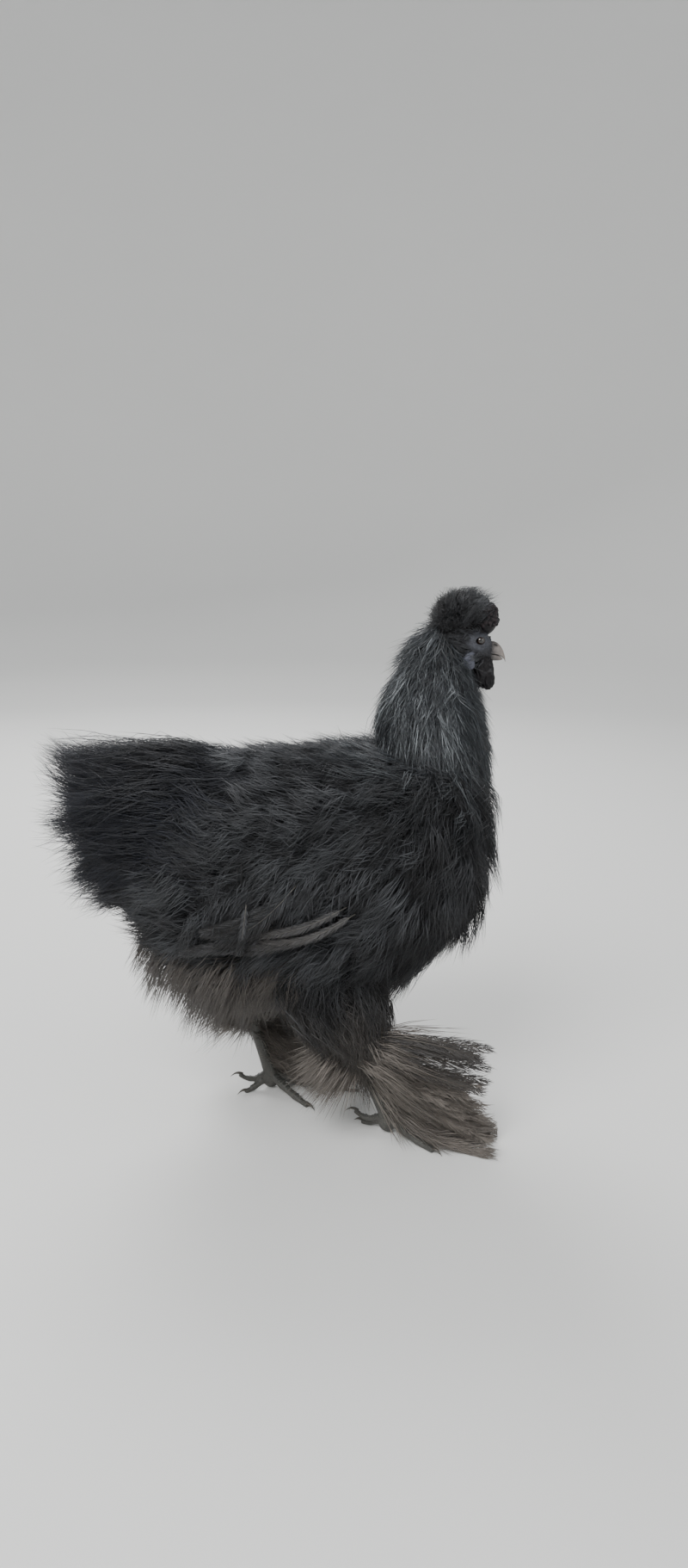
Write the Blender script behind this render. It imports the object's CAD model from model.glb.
"""The finish of a life-size silkie cockerel: skin, plumage of soft barbs, bare head and scaled legs.

The bird stands on the floor at z = 0 and faces +X. Lengths are in metres.
"""

import math

import bmesh
import bpy
import numpy as np
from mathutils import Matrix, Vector, noise


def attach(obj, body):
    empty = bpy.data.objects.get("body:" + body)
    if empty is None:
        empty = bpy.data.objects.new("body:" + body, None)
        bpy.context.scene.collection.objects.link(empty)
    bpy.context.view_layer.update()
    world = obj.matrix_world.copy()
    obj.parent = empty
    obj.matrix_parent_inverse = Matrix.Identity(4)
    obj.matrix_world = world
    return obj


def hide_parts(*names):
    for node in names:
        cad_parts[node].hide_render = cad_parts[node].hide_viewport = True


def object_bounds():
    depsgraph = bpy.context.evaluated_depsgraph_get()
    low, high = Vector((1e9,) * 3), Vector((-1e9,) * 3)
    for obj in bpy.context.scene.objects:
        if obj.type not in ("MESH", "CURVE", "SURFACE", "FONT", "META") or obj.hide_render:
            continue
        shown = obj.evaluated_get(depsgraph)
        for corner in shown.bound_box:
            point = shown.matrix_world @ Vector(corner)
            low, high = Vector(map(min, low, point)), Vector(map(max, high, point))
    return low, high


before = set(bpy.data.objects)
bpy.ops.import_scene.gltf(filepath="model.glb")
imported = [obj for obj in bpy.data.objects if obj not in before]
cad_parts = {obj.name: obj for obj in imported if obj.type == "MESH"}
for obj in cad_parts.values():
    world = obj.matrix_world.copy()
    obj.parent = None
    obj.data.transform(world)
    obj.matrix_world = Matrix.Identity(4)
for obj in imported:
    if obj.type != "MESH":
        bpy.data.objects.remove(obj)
cad_box = [list(corner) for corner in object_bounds()]

# Camera and studio.
# The camera stands at the photograph's place, a little above the bird's back, on its right side,
# and looks slightly down. The floor is plain pale board that curves up far behind, under soft lamps.

camera_data = bpy.data.cameras.new("side_camera")
camera_data.lens = 24.7
camera_data.sensor_width = 36
camera_data.clip_start = 0.01
camera = bpy.data.objects.new("side_camera", camera_data)
camera.location = (0.0505, -0.754, 0.439)
camera.rotation_euler = (math.radians(90 - 13.5), 0, 0)
bpy.context.scene.collection.objects.link(camera)
bpy.context.scene.camera = camera


def paint(hex_colour):
    """An sRGB hex colour as linear red, green, blue and alpha."""
    parts = [int(hex_colour[k : k + 2], 16) / 255 for k in (1, 3, 5)]
    return (*[p / 12.92 if p <= 0.04045 else ((p + 0.055) / 1.055) ** 2.4 for p in parts], 1)


def add(tree, kind, inputs=None, **settings):
    """Adds a node with its settings. An input is a value, or an output of another node to link."""
    made = tree.nodes.new(kind)
    for key, value in settings.items():
        setattr(made, key, value)
    for socket, value in (inputs or {}).items():
        if isinstance(value, bpy.types.NodeSocket):
            tree.links.new(value, made.inputs[socket])
        else:
            made.inputs[socket].default_value = value
    return made


def finish_named(name, roughness, **constants):
    """A new material, its node tree and its shader, with the finish's constant values set."""
    made = bpy.data.materials.new(name)
    made.use_nodes = True
    shader = made.node_tree.nodes["Principled BSDF"]
    shader.inputs["Roughness"].default_value = roughness
    for socket, value in constants.items():
        shader.inputs[socket.replace("_", " ")].default_value = value
    return made, made.node_tree, shader


def place(name, mesh, *materials):
    """Puts a mesh into the scene as one object."""
    made = bpy.data.objects.new(name, mesh)
    for material in materials:
        mesh.materials.append(material)
    bpy.context.scene.collection.objects.link(made)
    return made


# Painted board: an even matt off-white with the faintest mottling
board, tree, shader = finish_named("painted_board", 0.9)
mottle = add(tree, "ShaderNodeTexNoise", {"Scale": 6.0, "Detail": 4.0})
tone = add(tree, "ShaderNodeMix", {0: mottle.outputs["Fac"], 6: paint("#d8d8d6"), 7: paint("#dfdfdd")}, data_type="RGBA")
tree.links.new(tone.outputs[2], shader.inputs["Base Color"])

sweep = bmesh.new()
profile = [(0.0, 0.0), (1.2, 0.0), (2.0, 0.0), (2.4, 0.06), (2.7, 0.25), (2.9, 0.6), (3.0, 1.2), (3.0, 2.6)]
rings = []
for reach, height in profile[1:]:
    turns = [2 * math.pi * k / 64 for k in range(64)]
    rings.append([sweep.verts.new((reach * math.cos(t), reach * math.sin(t), height)) for t in turns])
sweep.faces.new(rings[0])
for low, high in zip(rings, rings[1:]):
    for k in range(64):
        sweep.faces.new((low[k - 1], low[k], high[k], high[k - 1]))
bmesh.ops.recalc_face_normals(sweep, faces=sweep.faces)
floor_mesh = bpy.data.meshes.new("floor")
sweep.to_mesh(floor_mesh)
sweep.free()
floor_mesh.shade_smooth()
place("floor", floor_mesh, board)

for name, spot, size, power in (
    ("key_lamp", (-0.7, -1.3, 1.7), 1.1, 47),
    ("fill_lamp", (1.5, -0.9, 0.9), 1.4, 10),
    ("rim_lamp", (-0.5, 1.3, 1.5), 1.0, 34),
):
    lamp_data = bpy.data.lights.new(name, "AREA")
    lamp_data.size = size
    lamp_data.energy = power
    lamp = bpy.data.objects.new(name, lamp_data)
    lamp.location = spot
    lamp.rotation_euler = (Vector((0, 0, 0.2)) - Vector(spot)).to_track_quat("-Z", "Y").to_euler()
    bpy.context.scene.collection.objects.link(lamp)
world = bpy.data.worlds.new("studio")
world.use_nodes = True
world.node_tree.nodes["Background"].inputs["Color"].default_value = (0.92, 0.95, 1.0, 1)
world.node_tree.nodes["Background"].inputs["Strength"].default_value = 0.50
bpy.context.scene.world = world

# Body skin.
# A silkie's skin is blue-black. Here it is one closed surface from the neck to the tail and the
# hocks, at the depth of the plumage, so that no seam shows between the barbs.


class Form:
    """A form between an upper and a lower line, with oval sections, in rows from its start to its
    end: (upper x, upper z, lower x, lower z, half width)."""

    def __init__(self, outline, shrink=0.0, y=0.0):
        rows = np.array(outline, dtype=float)
        half = (rows[:, 0:2] - rows[:, 2:4]) / 2
        reach = np.linalg.norm(half, axis=1, keepdims=True)
        half *= np.maximum(reach - shrink, 0.003) / reach
        middle = (rows[:, 0:2] + rows[:, 2:4]) / 2
        self.rows = np.hstack([middle, half, np.maximum(rows[:, 4:5] - shrink, 0.003)])
        self.y = y

    def row(self, u):
        last = len(self.rows) - 1
        k = np.clip(np.floor(u * last), 0, last - 1).astype(int)
        f = (u * last - k)[:, None]
        g = np.clip(f, 0, 1)
        b, s = self.rows[np.maximum(k - 1, 0)], self.rows[k]
        e, a = self.rows[k + 1], self.rows[np.minimum(k + 2, last)]
        curve = 2 * s + (e - b) * g + (2 * b - 5 * s + 4 * e - a) * g**2 + (3 * s - b - 3 * e + a) * g**3
        return (curve / 2 + (f - g) * (e - s)).T

    def at(self, u, v):
        """Points of the surface: u from its start to its end, v round it by the left."""
        x, z, half_x, half_z, wide = self.row(u)
        wide = np.maximum(wide, 0.001)
        return np.stack([x + half_x * np.cos(v), self.y + wide * np.sin(v), z + half_z * np.cos(v)], 1)

    def frame(self, u, v, step=0.004):
        """The slopes along u and v at points of the surface, and the way out there."""
        along = (self.at(u + step, v) - self.at(u - step, v)) / (2 * step)
        across = (self.at(u, v + step) - self.at(u, v - step)) / (2 * step)
        out = np.cross(along, across)
        out /= np.linalg.norm(out, axis=1, keepdims=True) + 1e-12
        x, z, *_ = self.row(u)
        middle = np.stack([x, np.full_like(x, self.y), z], 1)
        out *= np.where(((self.at(u, v) - middle) * out).sum(1, keepdims=True) < 0, -1, 1)
        return along, across, out

    def solid(self, rings, sides):
        """The form's closed mesh, as points and faces."""
        u = np.repeat(np.linspace(0, 1, rings), sides)
        v = np.tile(np.arange(sides) * 2 * math.pi / sides, rings)
        faces = [tuple(range(sides)), tuple(range((rings - 1) * sides, rings * sides))]
        for r in range(rings - 1):
            for k in range(sides):
                a, b = r * sides + k, r * sides + (k + 1) % sides
                faces.append((a, b, b + sides, a + sides))
        return self.at(u, v), faces


SIDES = {"right": -1, "left": 1}
TORSO = (
    (0.1140, 0.3060, 0.1380, 0.3000, 0.014),
    (0.0960, 0.2930, 0.1560, 0.2640, 0.041),
    (0.0850, 0.2890, 0.1630, 0.2300, 0.062),
    (0.0700, 0.2900, 0.1615, 0.2000, 0.074),
    (0.0500, 0.2910, 0.1555, 0.1640, 0.082),
    (0.0280, 0.2915, 0.1330, 0.1320, 0.086),
    (0.0050, 0.2900, 0.0950, 0.1060, 0.087),
    (-0.0150, 0.2880, 0.0450, 0.0980, 0.085),
    (-0.0300, 0.2860, -0.0050, 0.1010, 0.080),
    (-0.0480, 0.2860, -0.0500, 0.1100, 0.074),
    (-0.0700, 0.2880, -0.0880, 0.1330, 0.063),
    (-0.0950, 0.2750, -0.1130, 0.1620, 0.045),
    (-0.1150, 0.2400, -0.1200, 0.2000, 0.020),
)
NECK = (
    (0.1160, 0.3820, 0.1290, 0.3780, 0.008),
    (0.1080, 0.3740, 0.1340, 0.3620, 0.0170),
    (0.0985, 0.3610, 0.1385, 0.3470, 0.0220),
    (0.0890, 0.3460, 0.1430, 0.3330, 0.0265),
    (0.0800, 0.3300, 0.1475, 0.3180, 0.0315),
    (0.0740, 0.3140, 0.1505, 0.3040, 0.0365),
    (0.0725, 0.2980, 0.1525, 0.2880, 0.0410),
    (0.0760, 0.2820, 0.1540, 0.2700, 0.0440),
    (0.0850, 0.2650, 0.1520, 0.2520, 0.0450),
)
TAIL = (
    (-0.0200, 0.2740, -0.0560, 0.1790, 0.054),
    (-0.0480, 0.2790, -0.0850, 0.1760, 0.050),
    (-0.0740, 0.2740, -0.1010, 0.1870, 0.041),
    (-0.0960, 0.2640, -0.1120, 0.2030, 0.027),
    (-0.1110, 0.2480, -0.1180, 0.2240, 0.009),
)
THIGH = {
    "right": (
        (0.0760, 0.1600, -0.0060, 0.1600, 0.030),
        (0.0850, 0.1280, -0.0040, 0.1300, 0.035),
        (0.0850, 0.1000, 0.0080, 0.1020, 0.034),
        (0.0810, 0.0820, 0.0320, 0.0820, 0.025),
        (0.0770, 0.0720, 0.0430, 0.0700, 0.0175),
        (0.0745, 0.0650, 0.0480, 0.0630, 0.0142),
    ),
    "left": (
        (0.0450, 0.1600, -0.0400, 0.1600, 0.030),
        (0.0380, 0.1300, -0.0540, 0.1280, 0.035),
        (0.0200, 0.1040, -0.0560, 0.1020, 0.034),
        (0.0000, 0.0900, -0.0530, 0.0880, 0.025),
        (-0.0110, 0.0810, -0.0450, 0.0780, 0.0175),
        (-0.0145, 0.0740, -0.0410, 0.0710, 0.0142),
    ),
}
CREST = (
    (0.1440, 0.3810, 0.1440, 0.3740, 0.006),
    (0.1390, 0.3880, 0.1390, 0.3640, 0.0130),
    (0.1300, 0.3910, 0.1290, 0.3600, 0.0150),
    (0.1210, 0.3880, 0.1200, 0.3640, 0.0125),
    (0.1160, 0.3800, 0.1150, 0.3700, 0.005),
)
HEAD = (
    (0.1170, 0.3690, 0.1165, 0.3610, 0.0040),
    (0.1225, 0.3750, 0.1210, 0.3520, 0.0110),
    (0.1310, 0.3765, 0.1290, 0.3460, 0.0138),
    (0.1390, 0.3740, 0.1370, 0.3435, 0.0138),
    (0.1460, 0.3700, 0.1445, 0.3440, 0.0114),
    (0.1505, 0.3655, 0.1500, 0.3455, 0.0084),
    (0.1522, 0.3630, 0.1522, 0.3470, 0.0066),
)
WING = (
    (0.1040, 0.2320, 0.1010, 0.2190, 0.004),
    (0.0900, 0.2440, 0.0850, 0.1960, 0.013),
    (0.0600, 0.2500, 0.0540, 0.1820, 0.018),
    (0.0250, 0.2460, 0.0230, 0.1740, 0.018),
    (-0.0080, 0.2300, -0.0020, 0.1680, 0.014),
    (-0.0350, 0.2060, -0.0240, 0.1640, 0.008),
    (-0.0480, 0.1860, -0.0400, 0.1700, 0.003),
)
TORSO_COAT, NECK_COAT, THIGH_COAT = 0.0115, 0.0065, 0.0060
THIGH_Y, WING_Y = 0.0360, 0.0640
torso = Form(TORSO, shrink=TORSO_COAT)
neck = Form(NECK, shrink=NECK_COAT)
tail = Form(TAIL)
crest = Form(CREST)
thighs = {side: Form(THIGH[side], shrink=THIGH_COAT, y=THIGH_Y * hand) for side, hand in SIDES.items()}
wings = {side: Form(WING, shrink=0.004, y=(WING_Y - 0.002) * hand) for side, hand in SIDES.items()}


def moulded(name, forms, grain, smoothing):
    """One closed surface over several overlapping closed meshes, each given as points and faces."""
    joined = bmesh.new()
    for points, faces in forms:
        corners = [joined.verts.new(p) for p in points]
        for face in faces:
            joined.faces.new([corners[k] for k in face])
    bmesh.ops.recalc_face_normals(joined, faces=joined.faces)
    mesh = bpy.data.meshes.new(name)
    joined.to_mesh(mesh)
    joined.free()
    body = place(name, mesh)
    remesh = body.modifiers.new("remesh", "REMESH")
    remesh.mode = "VOXEL"
    remesh.voxel_size = grain
    soften = body.modifiers.new("soften", "SMOOTH")
    soften.iterations = smoothing
    result = bpy.data.meshes.new_from_object(body.evaluated_get(bpy.context.evaluated_depsgraph_get()))
    body.modifiers.clear()
    body.data = result
    result.name = name
    bpy.data.meshes.remove(mesh)
    result.shade_smooth()
    return body


# Blue-black bird skin, matt and finely pebbled by the feather follicles, about 1.5 mm apart
bare_skin, tree, shader = finish_named("blue_black_skin", 0.75, IOR=1.42, Specular_IOR_Level=0.25)
where = add(tree, "ShaderNodeTexCoord")
pebble = add(tree, "ShaderNodeTexVoronoi", {"Vector": where.outputs["Object"], "Scale": 650.0})
blotch = add(tree, "ShaderNodeTexNoise", {"Vector": where.outputs["Object"], "Scale": 60.0})
tone = add(tree, "ShaderNodeMix", {0: blotch.outputs["Fac"], 6: paint("#0a0a0b"), 7: paint("#131112")}, data_type="RGBA")
bump = add(tree, "ShaderNodeBump", {"Height": pebble.outputs["Distance"], "Strength": 0.3, "Distance": 0.001})
tree.links.new(tone.outputs[2], shader.inputs["Base Color"])
tree.links.new(bump.outputs["Normal"], shader.inputs["Normal"])

body_forms = [torso.solid(26, 36), neck.solid(20, 32), tail.solid(12, 28), crest.solid(10, 24)]
body_forms += [Form(HEAD, shrink=0.0012).solid(12, 24)]
body_forms += [form.solid(12, 20) for form in (*thighs.values(), *wings.values())]
skin = moulded("body_skin", body_forms, 0.0028, 4)
skin.data.materials.append(bare_skin)
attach(skin, "root")
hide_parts("torso", "neck", "tail", "crest", "thigh_right", "thigh_left", "wing_right", "wing_left")

# Body plumage.
# Silkie feathers have no hooks to hold their barbs together, so the coat is a deep fluff of fine
# soft barbs. They grow in small tufts that overlap and lie back along the body, and their tips draw
# together into ragged clumps.

BARB_FLATNESS = 0.6
PATCH = 0.003


def spread(form, count, draw, span=(0.0, 1.0), keep=None):
    """Roots spread evenly over a form's surface, about one in each cell of a grid, as u and v."""
    u = draw.uniform(*span, count * 60)
    v = draw.uniform(-math.pi, math.pi, count * 60)
    along, across, _ = form.frame(u, v)
    area = np.linalg.norm(np.cross(along, across), axis=1)
    chosen = draw.random(len(u)) < area / np.percentile(area, 99)
    if keep is not None:
        chosen &= keep(form.at(u, v), u, v)
    u, v = u[chosen], v[chosen]
    spots, cell = form.at(u, v), 0.008
    for _ in range(5):
        cells = (np.floor(spots / cell) + 1000).astype(np.int64) @ np.array((1, 4096, 4096**2))
        _, first = np.unique(cells, return_index=True)
        cell *= math.sqrt(len(first) / count)
    first = draw.permutation(first)[:count]
    return u[first], v[first]


def in_locks(spots, draw, size):
    """For each tuft, the tuft at the head of its lock: the nearest of a few picked at random."""
    if size == 1:
        return np.arange(len(spots))
    heads = draw.choice(len(spots), len(spots) // size, replace=False)
    return heads[np.argmin(((spots[:, None] - spots[heads][None]) ** 2).sum(2), 1)]


def tufts(form, roots, draw, per, length, rise, turn=0.0, base=0.002, fan=(0.1, 0.8), frizz=0.0015,
          steps=2, lift=0.8, sag=None, sink=0.001, wander=0.25, vary=0.25, arc=0.3, stray=0.12,
          locks=1, gather=0.0):
    """Tufts of barbs that lie along a form from their roots, their tips drawn together into locks.
    Returns each barb's path, the way out at its root, its tuft, and its place in the tuft."""
    u, v = roots
    count = len(u)
    lock = in_locks(form.at(u, v), draw, locks)
    hand = np.where(np.sin(v) >= 0, 1, -1)
    along, across, _ = form.frame(u, v)
    drop = np.zeros(count) if sag is None else sag(form.at(u, v))
    drop = drop * draw.uniform(0.6, 1.25, count)
    reach = length * draw.uniform(1 - vary, 1 + vary, count) + drop * 0.3
    heading = (turn(form.at(u, v), u, v) if callable(turn) else turn) + draw.normal(0, wander, count)
    half_u = u + np.cos(heading) * reach / 2 / np.linalg.norm(along, axis=1)
    along_half, across_half, _ = form.frame(half_u, v)
    end_u = u + np.cos(heading) * reach / np.linalg.norm(along_half, axis=1)
    end_v = v + hand * np.sin(heading) * reach / np.maximum(np.linalg.norm(across_half, axis=1), 0.01)
    end_u += (end_u[lock] - end_u) * gather
    end_v += (np.mod(end_v[lock] - end_v + math.pi, 2 * math.pi) - math.pi) * gather
    tuft = np.repeat(np.arange(count), per)
    member = np.tile(np.arange(per), count)
    total = count * per
    scale_u = np.linalg.norm(along, axis=1)[tuft]
    scale_v = np.maximum(np.linalg.norm(across, axis=1), 0.01)[tuft]
    off_u, off_v = draw.normal(0, base, total), draw.normal(0, base, total)
    root_u, root_v = u[tuft] + off_u / scale_u, v[tuft] + off_v / scale_v
    wild = draw.random(total) < stray
    short = draw.uniform(0.7, 1.12, total) * np.where(wild, 1.2, 1)
    spray = draw.uniform(*fan, count)[tuft] + wild
    tip_u = root_u + (end_u - u)[tuft] * short + (off_u * (spray - 1) + draw.normal(0, base / 3, total)) / scale_u
    tip_v = root_v + (end_v - v)[tuft] * short + (off_v * (spray - 1) + draw.normal(0, base / 3, total)) / scale_v
    height = draw.uniform(*rise, count)[lock][tuft] * draw.uniform(0.75, 1.15, total) * np.where(wild, 1.25, 1)
    bow = (draw.normal(0, arc, count)[lock][tuft] + draw.normal(0, arc / 3, total)) * reach[tuft] * 0.5
    path = np.empty((total, steps + 1, 3))
    for k, stop in enumerate(np.linspace(0, 1, steps + 1)):
        at_u = root_u + (tip_u - root_u) * stop
        at_v = root_v + (tip_v - root_v) * stop + bow * math.sin(math.pi * stop) / scale_v
        _, _, out = form.frame(at_u, at_v)
        rises = -sink + (height + sink) * stop**lift
        path[:, k] = form.at(at_u, at_v) + out * rises[:, None]
        path[:, k] += draw.normal(0, frizz, (total, 3)) * stop
        path[:, k, 2] -= drop[tuft] * stop**1.5
        if k == 0:
            root_out = out
    return path, root_out, tuft, member, (u, v)


def keep_in_box(path, margin=0.0004):
    """Draws points that would leave the solids' overall box, or pass the floor, back inside it."""
    return np.clip(path, np.array(cad_box[0]) + (margin, margin, 0.0008), np.array(cad_box[1]) - margin)


def barb_mesh(name, barbs, width, taper, draw, per, marks):
    """The joined mesh of barbs: each is a closed three-sided sliver that narrows to its tip. Marks are
    values for each barb, kept with how far along it each corner lies."""
    path, out, tuft, member, (u, v) = barbs
    path = keep_in_box(path)
    total, stations = path.shape[0], path.shape[1] - 1
    wide = width * draw.uniform(0.75, 1.25, total)
    points = np.empty((total, stations * 3 + 1, 3))
    tips = np.zeros((total, stations * 3 + 1))
    for k in range(stations):
        way = path[:, k + 1] - path[:, k]
        way /= np.linalg.norm(way, axis=1, keepdims=True) + 1e-12
        side = np.cross(way, out)
        side /= np.linalg.norm(side, axis=1, keepdims=True) + 1e-12
        ridge = np.cross(side, way)
        half = (wide * taper[k] / 2)[:, None]
        points[:, 3 * k] = path[:, k] - side * half - ridge * half * BARB_FLATNESS / 2
        points[:, 3 * k + 1] = path[:, k] + ridge * half * BARB_FLATNESS * 1.2
        points[:, 3 * k + 2] = path[:, k] + side * half - ridge * half * BARB_FLATNESS / 2
        tips[:, 3 * k : 3 * k + 3] = k / stations
    points[:, -1] = path[:, -1]
    tips[:, -1] = 1
    pattern = [(2, 1, 0)]
    for k in range(stations - 1):
        for side in range(3):
            a, b = 3 * k + side, 3 * k + (side + 1) % 3
            pattern += [(a, b, b + 3), (a, b + 3, a + 3)]
    end = 3 * (stations - 1)
    pattern += [(end + k, end + (k + 1) % 3, end + 3) for k in range(3)]
    pattern = np.array(pattern)
    corners = (pattern[None] + (np.arange(total) * (stations * 3 + 1))[:, None, None]).reshape(-1)
    mesh = bpy.data.meshes.new(name)
    mesh.vertices.add(total * (stations * 3 + 1))
    mesh.vertices.foreach_set("co", points.reshape(-1))
    mesh.loops.add(len(corners))
    mesh.loops.foreach_set("vertex_index", corners)
    mesh.polygons.add(len(corners) // 3)
    mesh.polygons.foreach_set("loop_start", np.arange(0, len(corners), 3))
    mesh.polygons.foreach_set("loop_total", np.full(len(corners) // 3, 3))
    patch_x = (np.mod(v / (2 * math.pi) + 0.5, 1))[tuft] * 0.99 + 0.005
    patch_y = np.clip(u, 0, 1)[tuft] * 0.99 + 0.005
    lane = (member + 0.5) / per - 0.5
    flat = np.empty((total, stations * 3 + 1, 2))
    flat[:, :, 0] = (patch_x + PATCH * lane)[:, None]
    flat[:, :, 0] += PATCH / per * 0.4 * (np.arange(stations * 3 + 1) % 3 - 1)[None]
    flat[:, :, 1] = patch_y[:, None] + PATCH * (tips - 0.5)
    mesh.uv_layers.new(name="OFBake").data.foreach_set("uv", flat.reshape(-1, 2)[corners].reshape(-1))
    for mark, values in (*marks.items(), ("tip", None)):
        layer = mesh.attributes.new(mark, "FLOAT", "POINT")
        spreads = tips if values is None else np.broadcast_to(values[:, None], tips.shape)
        layer.data.foreach_set("value", np.ascontiguousarray(spreads, dtype=np.float32).reshape(-1))
    mesh.update(calc_edges=True)
    mesh.validate()
    mesh.shade_smooth()
    return mesh


def tone_marks(barbs, draw, dust=None):
    """A tone for each barb, lighter in the tufts that stand higher and towards the bird's top, where
    the sun bleaches it, and how dusty brown it is."""
    path, out, tuft, *_ = barbs
    stands = ((path[:, -1] - path[:, 0]) * out).sum(1)
    stands = (np.bincount(tuft, stands) / np.maximum(np.bincount(tuft), 1))[tuft]
    low, high = np.percentile(stands, (5, 97))
    stands = np.clip((stands - low) / max(high - low, 1e-6), 0, 1)
    tones = stands**1.7 * 0.65 + draw.random(tuft.max() + 1)[tuft] ** 2 * 0.25 + draw.random(len(tuft)) ** 2 * 0.15
    low = 0.6 * np.clip((0.135 - path[:, 0, 2]) / 0.05, 0, 1) if dust is None else np.full(len(tuft), dust)
    bleached = np.clip(0.8 + (path[:, 0, 2] - 0.2) * 2.5, 0.7, 1.1)
    return {"tone": tones * bleached, "dust": low * draw.uniform(0.6, 1.0, len(tuft))}


# Black silkie plumage: keratin barbs without hooks, so soft and nearly matt, with a faint cool
# sheen, browner where sun and dust have worn the tips
plumage, tree, shader = finish_named("black_silkie_barbs", 0.5, IOR=1.4, Specular_IOR_Level=0.35, Sheen_Weight=0.02, Sheen_Roughness=0.4)
tone_mark = add(tree, "ShaderNodeAttribute", attribute_name="tone")
tip_mark = add(tree, "ShaderNodeAttribute", attribute_name="tip")
dust_mark = add(tree, "ShaderNodeAttribute", attribute_name="dust")
where = add(tree, "ShaderNodeTexCoord")
patches = add(tree, "ShaderNodeTexNoise", {"Vector": where.outputs["Object"], "Scale": 45.0, "Detail": 3.0})
shade = add(tree, "ShaderNodeMix", {0: tone_mark.outputs["Fac"], 6: paint("#050609"), 7: paint("#4a4c50")}, data_type="RGBA")
tipped = add(tree, "ShaderNodeMath", {0: tip_mark.outputs["Fac"], 1: tone_mark.outputs["Fac"]}, operation="MULTIPLY")
glint = add(tree, "ShaderNodeMix", {0: tipped.outputs["Value"], 6: shade.outputs[2], 7: paint("#6e7175")}, data_type="RGBA")
browned = add(tree, "ShaderNodeMath", {0: tip_mark.outputs["Fac"], 1: patches.outputs["Fac"]}, operation="MULTIPLY")
worn = add(tree, "ShaderNodeMix", {0: browned.outputs["Value"], 6: glint.outputs[2], 7: paint("#242120")}, data_type="RGBA")
dusty = add(tree, "ShaderNodeMix", {0: dust_mark.outputs["Fac"], 6: worn.outputs[2], 7: paint("#827b74")}, data_type="RGBA")
tree.links.new(dusty.outputs[2], shader.inputs["Base Color"])


def off_the_wing(points, u, v):
    """Roots on the torso that no wing covers."""
    return (np.abs(points[:, 1]) < 0.058) | ~in_outline(points, WING_ROOM)


WING_ROOM = (
    (0.0980, 0.2260), (0.0880, 0.2400), (0.0600, 0.2470), (0.0150, 0.2400), (-0.0180, 0.2200), (-0.0500, 0.1860),
    (-0.0640, 0.1560), (-0.0350, 0.1500), (0.0200, 0.1570), (0.0620, 0.1780), (0.0860, 0.2000),
)


def in_outline(points, outline):
    """Which points lie inside a closed outline of (x, z)."""
    inside = np.zeros(len(points), dtype=bool)
    x, z = points[:, 0], points[:, 2]
    for (x1, z1), (x2, z2) in zip(outline, outline[1:] + outline[:1]):
        crosses = (z1 > z) != (z2 > z)
        inside ^= crosses & (x < x1 + (x2 - x1) * (z - z1) / (z2 - z1 + 1e-12))
    return inside


def beyond(points, spot, normal):
    """How far points lie past a plane."""
    normal = np.array(normal) / np.linalg.norm(normal)
    return (points - np.array(spot)) @ normal


NECK_CUT = ((0.0750, 0, 0.3030), (0.411, 0, 0.911))
TAIL_CUT = ((-0.0330, 0, 0.2850), (-0.896, 0, 0.445))


def body_roots(points, u, v, under=0.0):
    """Roots on the torso that neither the wings nor the tail nor the thighs cover, or a little under."""
    clear = (beyond(points, *NECK_CUT) < 0.006) & (beyond(points, *TAIL_CUT) < 0.010)
    hips = np.zeros(len(points), dtype=bool)
    for side, hand in SIDES.items():
        x, z, half_x, _, wide = thighs[side].row(np.zeros(len(points)))
        hips |= ((points[:, 0] - x) / half_x) ** 2 + ((points[:, 1] - THIGH_Y * hand) / wide) ** 2 < 0.6
    return clear & ~(hips & (points[:, 2] < 0.12)) & ((under > 0) | off_the_wing(points, u, v))


def hang(points):
    """How far the ends of the fluff droop: far along the belly and under the vent, little above."""
    return 0.004 + 0.016 * np.clip((0.155 - points[:, 2]) / 0.05, 0, 1)


draw = np.random.default_rng(5)
COAT_PARTS = (
    ("back", 900, lambda p, u, v: np.abs(v) < 1.0, 0.025, (0.003, 0.0170), 0.8),
    ("right", 950, lambda p, u, v: (v < -1.0) & (v > -2.2), 0.026, (0.003, 0.0160), 0.9),
    ("left", 950, lambda p, u, v: (v > 1.0) & (v < 2.2), 0.026, (0.003, 0.0160), 0.9),
    ("belly", 700, lambda p, u, v: np.abs(v) > 2.2, 0.027, (0.003, 0.0145), 0.9),
)
for name, count, part, length, rise, lift in COAT_PARTS:
    roots = spread(torso, count, draw, (0.0, 1.0), lambda p, u, v: part(p, u, v) & body_roots(p, u, v))
    coat = tufts(torso, roots, draw, 8, length, rise, turn=0.1, lift=lift, base=0.0032, frizz=0.0020, sag=hang, wander=0.45, vary=0.4,
                 locks=6, gather=0.6)
    roots = spread(torso, count + 100, draw, (0.0, 1.0), lambda p, u, v: part(p, u, v) & body_roots(p, u, v, 0.004))
    down = tufts(torso, roots, draw, 8, 0.017, (0.002, 0.007), turn=0.1, base=0.0034, frizz=0.0020, steps=1, wander=0.7, vary=0.4)
    for layer, barbs, taper in (("coat_", coat, (0.9, 1.0)), ("down_", down, (1.0,))):
        piece = place(layer + name, barb_mesh(layer + name, barbs, 0.00056, taper, draw, 8, tone_marks(barbs, draw)), plumage)
        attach(piece, "root")
        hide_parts("torso")

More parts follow.
